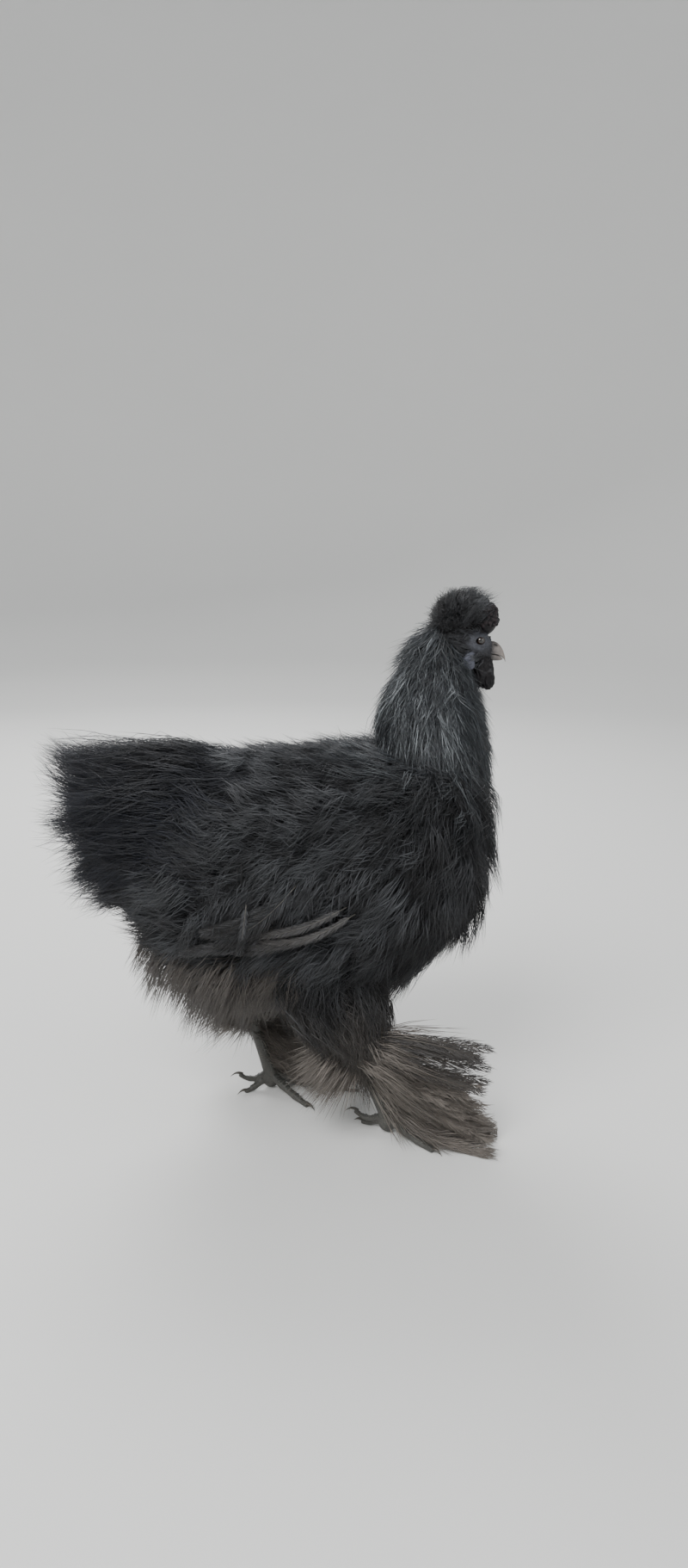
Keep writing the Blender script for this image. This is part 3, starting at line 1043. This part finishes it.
draw = np.random.default_rng(41)
for side, hand in SIDES.items():
    hock, ankle = Vector(HOCK[side]), Vector(ANKLE[side])
    toe_end = ankle + Vector((math.cos(HEADING[side] + hand * 0.55), math.sin(HEADING[side] + hand * 0.55), 0)) * 0.034
    toe_end.z = 0.004
    shafts, ups = [], []
    rows = (
        (hock + Vector((0.013, 0.010 * hand, 0.011)), hock + Vector((0.0, 0.012 * hand, -0.010)), 7, 0.090, 0.05, 0.08),
        (hock.lerp(ankle, 0.14), hock.lerp(ankle, 0.86), 10, 0.084, 0.04, 0.05),
        (hock.lerp(ankle, 0.24), hock.lerp(ankle, 0.86), 9, 0.078, -0.02, 0.11),
        (hock.lerp(ankle, 0.36), hock.lerp(ankle, 0.86), 7, 0.066, -0.05, 0.20),
        (ankle, toe_end, 7, 0.060, 0.20, -0.14),
        (ankle, toe_end, 6, 0.050, 0.12, -0.02),
    )
    for start, end, count, length, rise, splay in rows:
        for k in range(count):
            root = start.lerp(end, (k + 0.5) / count)
            bearing = HEADING[side] + hand * splay + draw.normal(0, 0.09)
            slope = rise - 0.16 * (k / count) * (rise < 0.1) + draw.normal(0, 0.05)
            reach = length * draw.uniform(0.84, 1.06)
            way = Vector((math.cos(bearing) * math.cos(slope), math.sin(bearing) * math.cos(slope), math.sin(slope)))
            sag = 0.010 * draw.uniform(0.6, 1.3)
            shafts.append([[*(root + way * (reach * f) + Vector((0, 0, -sag * f * f)))] for f in np.linspace(0, 1, 9)])
            side_out = Vector((-math.sin(bearing), math.cos(bearing), 0)) * hand
            ups.append(np.array((side_out * draw.uniform(0.35, 0.9) + Vector((0, 0, 0.6))).normalized()))
    shafts = [keep_in_box(np.array(shaft) + [0, 0, 0]).clip(min=[-1, -1, 0.0035]) for shaft in shafts]
    barbs = vane_barbs(shafts, ups, 0.0092, draw, 56, angle=0.42, curl=0.5, loose=0.0011)
    name, dark_row = "leg_feathers_" + side, rows[0][2]
    marks = tone_marks(barbs, draw, 1.0)
    marks["dust"] *= np.repeat([0.3] * dark_row + [1.0] * (len(shafts) - dark_row), 2 * 56)
    piece = place(name, barb_mesh(name, barbs, 0.00056, (0.9, 1.0), draw, 1, marks), plumage)
    shaft_piece = place("leg_quills_" + side, quills("leg_quills_" + side, shafts, 0.0005), quill)
    hind = (hock + Vector((-0.006, 0.0, 0.0)), hock.lerp(ankle, 0.34), 0, 0.058, -0.12, 2.75)
    count, per, steps = 380, 8, 2
    picks = [(*rows, hind, hind, hind)[k] for k in draw.integers(0, len(rows) + 3, count)]
    along = draw.random(count)
    root = np.array([start.lerp(end, float(f)) for (start, end, *_), f in zip(picks, along)])
    bearing = np.array([HEADING[side] + hand * pick[5] for pick in picks]) + draw.normal(0, 0.28, count)
    slope = np.array([pick[4] for pick in picks]) - 0.12 * along + draw.normal(0, 0.16, count)
    reach = np.array([pick[3] for pick in picks]) * draw.uniform(0.3, 0.85, count)
    way = np.stack([np.cos(bearing) * np.cos(slope), np.sin(bearing) * np.cos(slope), np.sin(slope)], 1)
    tuft = np.repeat(np.arange(count), per)
    path = np.empty((count * per, steps + 1, 3))
    starts, fans = draw.normal(0, 0.0016, (count * per, 3)), draw.normal(0, 0.0042, (count * per, 3))
    short = draw.uniform(0.7, 1.1, count * per)
    for k, f in enumerate(np.linspace(0, 1, steps + 1)):
        path[:, k] = root[tuft] + starts + way[tuft] * (reach[tuft] * short * f)[:, None] + fans * f + draw.normal(0, 0.0014, (count * per, 3)) * f
        path[:, k, 2] = np.maximum(path[:, k, 2] - 0.012 * f**2, 0.002 + 0.004 * draw.random(count * per))
    ups_out = np.tile((0.0, 0.6 * hand, 0.8), (count * per, 1))
    barbs = path, ups_out, tuft, np.tile(np.arange(per), count), (along, draw.uniform(-math.pi, math.pi, count))
    name = "leg_fluff_" + side
    fluff = place(name, barb_mesh(name, barbs, 0.0006, (0.9, 1.0), draw, per, tone_marks(barbs, draw, 0.95)), plumage)
    for made in (piece, shaft_piece, fluff):
        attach(made, "root")
        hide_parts("shank_" + side, "foot_" + side, "thigh_" + side)

# Flight feathers.
# Only along the lower edge of each wing do firmer feathers show: one broad smooth covert, a quill that
# hangs down, and a few long narrow ones with pale shafts, dusty along their edges.

FLIGHTS = (
    (0.0190, 0.2090, -0.0350, 0.1700, 0.0105, 0.02, 0.0862),
    (0.0080, 0.1990, -0.0440, 0.1740, 0.0080, 0.04, 0.0830),
    (-0.0140, 0.1960, -0.0200, 0.1600, 0.0040, 0.02, 0.0862),
    (0.0520, 0.1940, -0.0140, 0.1730, 0.0046, 0.16, 0.0858),
    (0.0580, 0.1890, -0.0060, 0.1690, 0.0044, 0.20, 0.0848),
    (0.0520, 0.1820, -0.0180, 0.1640, 0.0050, 0.12, 0.0830),
    (0.0400, 0.1840, -0.0300, 0.1610, 0.0065, 0.08, 0.0805),
    (0.0150, 0.1850, -0.0500, 0.1610, 0.0065, 0.05, 0.0790),
    (-0.0050, 0.1830, -0.0600, 0.1570, 0.0060, 0.04, 0.0770),
)
# Pale quill: keratin, horn-grey, glossier than the barbs
pale_quill, tree, shader = finish_named("pale_flight_quill", 0.35, IOR=1.54)
where = add(tree, "ShaderNodeTexCoord")
grain = add(tree, "ShaderNodeTexNoise", {"Vector": where.outputs["Object"], "Scale": 60.0})
horn = add(tree, "ShaderNodeMix", {0: grain.outputs["Fac"], 6: paint("#2e2c29"), 7: paint("#55524c")}, data_type="RGBA")
tree.links.new(horn.outputs[2], shader.inputs["Base Color"])

draw = np.random.default_rng(51)
for side, hand in SIDES.items():
    shafts, ups, widths, dusts = [], [], [], []
    for x0, z0, x1, z1, half, dust, depth in FLIGHTS:
        sweep_by = draw.uniform(0.003, 0.007)
        shaft = []
        for f in np.linspace(0, 1, 13):
            bend = math.sin(math.pi * f)
            shaft.append([x0 + (x1 - x0) * f, hand * (depth - 0.004 * (2 * f - 0.9) ** 2), z0 + (z1 - z0) * f - sweep_by * bend])
        shafts.append(keep_in_box(np.array(shaft)))
        ups.append(np.array(Vector((0, hand, 0.25)).normalized()))
        widths.append(half)
        dusts.append(dust)
    parts = [vane_barbs([shaft], [up], half, draw, 90, angle=0.6, curl=0.3, loose=0.0005) for shaft, up, half in zip(shafts, ups, widths)]
    path, out = np.concatenate([part[0] for part in parts]), np.concatenate([part[1] for part in parts])
    row = np.arange(len(path))
    place_u = np.concatenate([part[4][0] for part in parts])
    place_v = np.concatenate([(part[4][1] + 2 * math.pi * (k - 4)) / 9 for k, part in enumerate(parts)])
    barbs = path, out, row, row * 0, (place_u, place_v)
    marks = tone_marks(barbs, draw, 0)
    marks["dust"] = np.repeat(dusts, [len(part[0]) for part in parts]) * draw.uniform(0.7, 1.0, len(path))
    name = "flight_feathers_" + side
    vanes = place(name, barb_mesh(name, barbs, 0.0007, (0.9, 1.0), draw, 1, marks), plumage)
    shaft_piece = place("flight_quills_" + side, quills("flight_quills_" + side, shafts, 0.0004), pale_quill)
    for made in (vanes, shaft_piece):
        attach(made, "root")
        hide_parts("wing_" + side)

# Head skin.
# The face is bare, wrinkled slate-blue skin round sunken eyes. The comb is a dark mulberry lump of
# small knobs, two round wattles hang below the beak, and a blue-grey lobe shows behind each cheek.

EYE_PLACE, EYE_RADIUS, LID_OPEN = (0.1445, 0.0080, 0.3618), 0.0037, (0.0031, 0.0023)
COMB_PLACE, COMB_RADII = np.array((0.1485, 0, 0.3763)), np.array((0.0096, 0.0094, 0.0122))
LOBE = (((0.1365, 0.0126, 0.3490), (0.0042, 0.0024, 0.0060)), ((0.1379, 0.0132, 0.3456), (0.0030, 0.0022, 0.0034)))
WATTLE = (
    ((0.1485, 0.0060, 0.3400), (0.0066, 0.0030, 0.0120)),
    ((0.1511, 0.0068, 0.3348), (0.0048, 0.0032, 0.0076)),
    ((0.1451, 0.0070, 0.3380), (0.0042, 0.0028, 0.0092)),
)
head = Form(HEAD)
cheek_u, cheek_v = [grid.ravel() for grid in np.meshgrid(np.linspace(0, 1, 160), np.linspace(0.05, 3.09, 200))]
cheek = head.at(cheek_u, cheek_v)


def on_face(x, z, hand, lift=0.0):
    """The point of the face's surface beside (x, z)."""
    y = cheek[np.argmin((cheek[:, 0] - x) ** 2 + (cheek[:, 2] - z) ** 2), 1]
    return Vector((x, hand * (y + lift), z))


def roll(middle, radii, thickness, hand, span=(0.0, 1.0), lift=0.0, tilt=0.0):
    """A soft fold of skin on the face, along part of an ellipse."""
    path = []
    for turn in np.linspace(span[0], span[1], 33) * 2 * math.pi:
        x, z = radii[0] * math.cos(turn), radii[1] * math.sin(turn)
        path.append(on_face(middle[0] + x * math.cos(tilt) - z * math.sin(tilt), middle[2] + x * math.sin(tilt) + z * math.cos(tilt), hand, lift))
    ends = 0 if span == (0.0, 1.0) else 1
    thick = [thickness * (1 - ends * abs(2 * k / 32 - 1) ** 2 * 0.7) for k in range(33)]
    return tube(path, thick, 10, (0, 1, 0))


forms = [head.solid(40, 48), ball(COMB_PLACE, COMB_RADII * 0.93, 32)]
draw = np.random.default_rng(61)
for k in range(130):
    height = 1 - 2 * (k + 0.5) / 130
    turn = k * 2.39996
    out = np.array((math.cos(turn) * math.sqrt(1 - height**2), math.sin(turn) * math.sqrt(1 - height**2), height))
    spot = COMB_PLACE + out * COMB_RADII * 0.93 + draw.normal(0, 0.0003, 3)
    if height > -0.35 and not (abs(spot[0] - COMB_PLACE[0] + 0.0015) < 0.0008 and height > 0.2):
        size = draw.uniform(0.0012, 0.0021)
        forms.append(ball(spot, (size, size, size * 1.1), 12))
for hand in SIDES.values():
    for spot, radii in (*LOBE, *WATTLE):
        forms.append(ball((spot[0], spot[1] * hand, spot[2]), radii, 28))
    for k in range(5):
        low, high = (0.1455 + 0.0022 * k, 0.3300 + 0.0012 * abs(k - 2)), (0.1462 + 0.0014 * k, 0.3480)
        path = [(low[0] + (high[0] - low[0]) * f, hand * (0.0070 + 0.0022 * math.sin(math.pi * min(f + 0.15, 1))), low[1] + (high[1] - low[1]) * f) for f in np.linspace(0, 1, 9)]
        forms.append(tube(path, [0.0010 * (1 - 0.5 * abs(2 * f - 1)) for f in np.linspace(0, 1, 9)], 8))
    forms += [
        roll(EYE_PLACE, (LID_OPEN[0] + 0.0006, LID_OPEN[1] + 0.0005), 0.0008, hand, lift=0.0002),
        roll(EYE_PLACE, (LID_OPEN[0] + 0.0007, LID_OPEN[1] + 0.0007), 0.0010, hand, (0.03, 0.47), 0.0004),
        roll(EYE_PLACE, (LID_OPEN[0] + 0.0021, LID_OPEN[1] + 0.0020), 0.0006, hand, (0.04, 0.46)),
        roll(EYE_PLACE, (LID_OPEN[0] + 0.0020, LID_OPEN[1] + 0.0021), 0.0006, hand, (0.55, 0.95)),
        roll(EYE_PLACE, (LID_OPEN[0] + 0.0036, LID_OPEN[1] + 0.0036), 0.0006, hand, (0.56, 0.90)),
        roll((0.1420, 0, 0.3640), (0.0090, 0.0058), 0.0011, hand, (0.08, 0.42)),
        roll((0.1440, 0, 0.3600), (0.0085, 0.0080), 0.0008, hand, (0.60, 0.85)),
        roll((0.1390, 0, 0.3560), (0.0070, 0.0070), 0.0007, hand, (0.62, 0.88)),
        ball((0.1496, 0.0074 * hand, 0.3520), (0.0030, 0.0018, 0.0016), 16),
    ]
rim = [(0.1522, 0.0062 * math.cos(t), 0.3546 + 0.0088 * math.sin(t)) for t in np.linspace(0, 2 * math.pi, 49)]
forms.append(tube(rim, [0.0009] * 49, 10, (1, 0, 0)))
face = moulded("head_skin", forms, 0.0004, 3)

points = np.empty(len(face.data.vertices) * 3)
face.data.vertices.foreach_get("co", points)
points = points.reshape(-1, 3)
flank = np.abs(points[:, 1])


def nearness(spot, radii, soft):
    """How near the head's points are to an ellipsoid's inside, from 0 beyond it to 1 in it."""
    spot, radii = np.array(spot), np.array(radii)
    q = np.linalg.norm((np.stack([points[:, 0], flank, points[:, 2]], 1) - spot) / radii, axis=1)
    return np.clip((1 + soft - q) / soft, 0, 1), q


in_comb, comb_q = nearness(COMB_PLACE, COMB_RADII * 1.02, 0.14)
in_comb *= np.clip((points[:, 2] - 0.3655) / 0.002, 0, 1)
in_lobe = np.maximum(nearness(*LOBE[0], 0.25)[0], nearness(*LOBE[1], 0.25)[0])
in_wattle = np.max([nearness(spot, np.array(radii) * 1.1, 0.2)[0] for spot, radii in WATTLE], 0) * np.clip((0.3520 - points[:, 2]) / 0.003, 0, 1)
by_eye = nearness(EYE_PLACE, (0.0062, 0.0300, 0.0050), 0.9)[0]
opening = np.sqrt(((points[:, 0] - EYE_PLACE[0]) / LID_OPEN[0]) ** 2 + ((points[:, 2] - EYE_PLACE[2]) / LID_OPEN[1]) ** 2)
sunk = np.clip((1.12 - opening) / 0.25, 0, 1) * (flank > 0.007)
wrinkle = np.array([noise.noise(Vector((x * 500, y * 500, z * 1500))) + 0.6 * noise.noise(Vector((x * 2200, y * 2200, z * 1200))) for x, y, z in points])
furrow = np.array([noise.noise(Vector((x * 900, y * 900, z * 300))) for x, y, z in points])
normals = np.empty(len(points) * 3)
face.data.vertices.foreach_get("normal", normals)
rough = wrinkle * 0.00032 * (1 - in_comb) * (1 - in_wattle) + furrow * 0.00075 * in_wattle
points += normals.reshape(-1, 3) * rough[:, None]
points[:, 1] = np.sign(points[:, 1]) * np.where(sunk > 0, np.abs(points[:, 1]) * (1 - sunk) + 0.0082 * sunk, np.abs(points[:, 1]))
face.data.vertices.foreach_set("co", points.reshape(-1))
for mark, values in (("comb", in_comb), ("knob", np.clip((comb_q - 1.0) / 0.16, 0, 1)), ("lobe", in_lobe), ("wattle", in_wattle), ("by_eye", by_eye)):
    layer = face.data.attributes.new(mark, "FLOAT", "POINT")
    layer.data.foreach_set("value", values.astype(np.float32))
face.data.update()

# Head skin: slate-blue and pebbled on the face, mulberry-black on comb and wattles, blue-grey on the
# lobes and round the eyes, with the soft half gloss of bare skin
head_skin, tree, shader = finish_named("slate_blue_face_skin", 0.46, IOR=1.42, Specular_IOR_Level=0.3)
where = add(tree, "ShaderNodeTexCoord")
blotch = add(tree, "ShaderNodeTexNoise", {"Vector": where.outputs["Object"], "Scale": 380.0, "Detail": 4.0})
pores = add(tree, "ShaderNodeTexVoronoi", {"Vector": where.outputs["Object"], "Scale": 1500.0})
marks = {mark: add(tree, "ShaderNodeAttribute", attribute_name=mark) for mark in ("comb", "knob", "lobe", "wattle", "by_eye")}
tone = add(tree, "ShaderNodeMix", {0: blotch.outputs["Fac"], 6: paint("#151517"), 7: paint("#29292d")}, data_type="RGBA")
pale = add(tree, "ShaderNodeMath", {0: marks["by_eye"].outputs["Fac"], 1: blotch.outputs["Fac"]}, operation="MULTIPLY")
eyed = add(tree, "ShaderNodeMix", {0: pale.outputs["Value"], 6: tone.outputs[2], 7: paint("#4c4e55")}, data_type="RGBA")
lobed = add(tree, "ShaderNodeMix", {0: marks["lobe"].outputs["Fac"], 6: eyed.outputs[2], 7: paint("#4b4d57")}, data_type="RGBA")
hung = add(tree, "ShaderNodeMix", {0: marks["wattle"].outputs["Fac"], 6: lobed.outputs[2], 7: paint("#0b090c")}, data_type="RGBA")
berry = add(tree, "ShaderNodeMix", {0: marks["knob"].outputs["Fac"], 6: paint("#120f12"), 7: paint("#3a2627")}, data_type="RGBA")
combed = add(tree, "ShaderNodeMix", {0: marks["comb"].outputs["Fac"], 6: hung.outputs[2], 7: berry.outputs[2]}, data_type="RGBA")
bump = add(tree, "ShaderNodeBump", {"Height": pores.outputs["Distance"], "Strength": 0.35, "Distance": 0.0004})
tree.links.new(combed.outputs[2], shader.inputs["Base Color"])
tree.links.new(bump.outputs["Normal"], shader.inputs["Normal"])
face.data.materials.append(head_skin)
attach(face, "root")
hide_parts("head", "comb", "wattle_right", "wattle_left", "earlobe_right", "earlobe_left")

# Eyes.
# Each eye is a ball with a clear bulging front, a black pupil and a dark brown iris with a darker rim.

# Eye: wet and glossy, coloured by how far each point lies from the middle of the pupil
wet_eye, tree, shader = finish_named("wet_dark_eye", 0.08, IOR=1.38, Coat_Weight=1.0, Coat_Roughness=0.02)
ring = add(tree, "ShaderNodeAttribute", attribute_name="ring")
where = add(tree, "ShaderNodeTexCoord")
fleck = add(tree, "ShaderNodeTexNoise", {"Vector": where.outputs["Object"], "Scale": 2600.0})
brown = add(tree, "ShaderNodeMix", {0: fleck.outputs["Fac"], 6: paint("#120a06"), 7: paint("#2b1a0f")}, data_type="RGBA")
pupil = add(tree, "ShaderNodeMapRange", {"Value": ring.outputs["Fac"], "From Min": 0.22, "From Max": 0.26})
limbus = add(tree, "ShaderNodeMapRange", {"Value": ring.outputs["Fac"], "From Min": 0.46, "From Max": 0.60})
inner = add(tree, "ShaderNodeMix", {0: pupil.outputs["Result"], 6: paint("#030303"), 7: brown.outputs[2]}, data_type="RGBA")
outer = add(tree, "ShaderNodeMix", {0: limbus.outputs["Result"], 6: inner.outputs[2], 7: paint("#0b0908")}, data_type="RGBA")
tree.links.new(outer.outputs[2], shader.inputs["Base Color"])

for side, hand in SIDES.items():
    gaze = Vector((0.16, hand, 0.02)).normalized()
    up = Vector((0, 0, 1))
    ahead = up.cross(gaze).normalized()
    up = gaze.cross(ahead)
    eye = bmesh.new()
    bmesh.ops.create_uvsphere(eye, u_segments=48, v_segments=32, radius=1)
    rings = []
    for corner in eye.verts:
        away = math.acos(max(-1, min(1, corner.co.z)))
        bulge = EYE_RADIUS * (1 + 0.05 * math.exp(-((away / 0.55) ** 2)))
        turned = gaze * corner.co.z + ahead * corner.co.x + up * corner.co.y
        corner.co = Vector((EYE_PLACE[0], EYE_PLACE[1] * hand, EYE_PLACE[2])) + turned * bulge
        rings.append(min(away / (math.pi / 2), 1))
    bmesh.ops.recalc_face_normals(eye, faces=eye.faces)
    mesh = bpy.data.meshes.new("eyeball_" + side)
    eye.to_mesh(mesh)
    eye.free()
    layer = mesh.attributes.new("ring", "FLOAT", "POINT")
    layer.data.foreach_set("value", rings)
    mesh.shade_smooth()
    piece = place("eyeball_" + side, mesh, wet_eye)
    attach(piece, "root")
    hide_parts("eye_" + side)

# Beak.
# The upper half hooks over the lower one. It is dark at the skin and pale horn at the tip, with fine
# lines of growth and a slit nostril on each side.

UPPER_BEAK = (
    (-0.0012, 0.3606, 0.3525, 0.0052), (0.0000, 0.3608, 0.3524, 0.0052), (0.0030, 0.3606, 0.3522, 0.0047), (0.0055, 0.3594, 0.3516, 0.0039),
    (0.0078, 0.3570, 0.3506, 0.0031), (0.0096, 0.3538, 0.3490, 0.0022), (0.0107, 0.3506, 0.3476, 0.0014), (0.0112, 0.3476, 0.3462, 0.0006),
)
LOWER_BEAK = (
    (-0.0012, 0.3472, 0.3519, 0.0046), (0.0000, 0.3472, 0.3518, 0.0046), (0.0030, 0.3470, 0.3515, 0.0040), (0.0055, 0.3470, 0.3509, 0.0032),
    (0.0076, 0.3472, 0.3499, 0.0023), (0.0088, 0.3476, 0.3488, 0.0012), (0.0092, 0.3479, 0.3484, 0.0004),
)
BEAK_FOOT, NOSTRIL = 0.1525, (0.1562, 0.3583)

# Beak horn: hard keratin, half glossy, dark grey at its base and pale at its tip
beak_horn, tree, shader = finish_named("grey_beak_horn", 0.42, IOR=1.54)
where = add(tree, "ShaderNodeTexCoord")
spot = add(tree, "ShaderNodeSeparateXYZ", {"Vector": where.outputs["Object"]})
growth = add(tree, "ShaderNodeTexNoise", {"Vector": where.outputs["Object"], "Scale": 420.0, "Detail": 3.0, "Distortion": 0.6})
forward = add(tree, "ShaderNodeMapRange", {"Value": spot.outputs["X"], "From Min": 0.1525, "From Max": 0.1620})
lean = add(tree, "ShaderNodeMath", {0: growth.outputs["Fac"], 1: -0.5}, operation="ADD")
mixed = add(tree, "ShaderNodeMath", {0: lean.outputs["Value"], 1: forward.outputs["Result"]}, operation="ADD")
deep = add(tree, "ShaderNodeAttribute", attribute_name="deep")
horn = add(tree, "ShaderNodeMix", {0: mixed.outputs["Value"], 6: paint("#2a282a"), 7: paint("#7a726d")}, data_type="RGBA")
slit = add(tree, "ShaderNodeMix", {0: deep.outputs["Fac"], 6: horn.outputs[2], 7: paint("#0d0b0b")}, data_type="RGBA")
bump = add(tree, "ShaderNodeBump", {"Height": growth.outputs["Fac"], "Strength": 0.25, "Distance": 0.0003})
tree.links.new(slit.outputs[2], shader.inputs["Base Color"])
tree.links.new(bump.outputs["Normal"], shader.inputs["Normal"])

for name, rows, node in (("upper_beak", UPPER_BEAK, "beak_upper"), ("lower_beak", LOWER_BEAK, "beak_lower")):
    stops = np.linspace(0, 1, 70)
    bone = np.array([np.interp(stops, np.linspace(0, 1, len(rows)), column) for column in zip(*rows)]).T
    bone[1:-1] = (bone[:-2] + bone[1:-1] * 2 + bone[2:]) / 4
    turns = np.concatenate([np.linspace(0, math.pi, 49), np.linspace(math.pi, 2 * math.pi, 17)[1:-1]])
    points = []
    for x, crown, edge, half in bone:
        for turn in turns:
            rise = abs(math.sin(turn)) ** 1.15 if turn <= math.pi else -0.06 * abs(math.sin(turn))
            points.append((BEAK_FOOT + x, half * math.cos(turn), edge + (crown - edge) * rise))
    points, sides = np.array(points), len(turns)
    faces = [tuple(range(sides)), tuple(range(69 * sides, 70 * sides))]
    faces += [(r * sides + k, r * sides + (k + 1) % sides, (r + 1) * sides + (k + 1) % sides, (r + 1) * sides + k) for r in range(69) for k in range(sides)]
    away = np.hypot((points[:, 0] - NOSTRIL[0]) / 0.0017, (points[:, 2] - NOSTRIL[1] + (points[:, 0] - NOSTRIL[0]) * 0.3) / 0.0006)
    pit = np.clip((1.25 - away) / 0.5, 0, 1)
    points[:, 1] -= np.sign(points[:, 1]) * 0.0009 * pit
    edges = np.repeat(bone[:, 2], sides)
    pit = np.maximum(pit, 0.8 * np.clip(1 - np.abs(points[:, 2] - edges) / 0.0004, 0, 1))
    mesh = bpy.data.meshes.new(name)
    mesh.from_pydata([tuple(p) for p in points], [], faces)
    layer = mesh.attributes.new("deep", "FLOAT", "POINT")
    layer.data.foreach_set("value", pit.astype(np.float32))
    form = bmesh.new()
    form.from_mesh(mesh)
    bmesh.ops.recalc_face_normals(form, faces=form.faces)
    form.to_mesh(mesh)
    form.free()
    mesh.shade_smooth()
    piece = place(name, mesh, beak_horn)
    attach(piece, "root")
    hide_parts(node)

# Cheek feathers.
# Short dark feathers cover the head behind the face, the ears and the chin, and run on into the neck.


def feathered_cheek(points, u, v):
    """Where the head is feathered: behind the bare face, but not on the lobes."""
    x, z = points[:, 0], points[:, 2]
    bare = (((x - 0.1470) / 0.0105) ** 2 + ((z - 0.3600) / 0.0085) ** 2 < 1) | (x > 0.1475)
    lobe = ((x - 0.1372) / 0.0044) ** 2 + ((z - 0.3475) / 0.0072) ** 2 < 1
    return ~bare & ~(lobe & (np.abs(points[:, 1]) > 0.006))


draw = np.random.default_rng(71)
roots = spread(head, 460, draw, (0.02, 0.90), feathered_cheek)
barbs = tufts(head, roots, draw, 8, -0.0095, (0.0012, 0.0046), base=0.0010, frizz=0.0004, wander=0.35, lift=0.7, arc=0.3,
              sag=lambda points: 0.003 * (points[:, 2] < 0.352))
piece = place("cheek_feathers", barb_mesh("cheek_feathers", barbs, 0.00042, (0.9, 1.0), draw, 8, tone_marks(barbs, draw, 0)), plumage)
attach(piece, "root")
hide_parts("head")
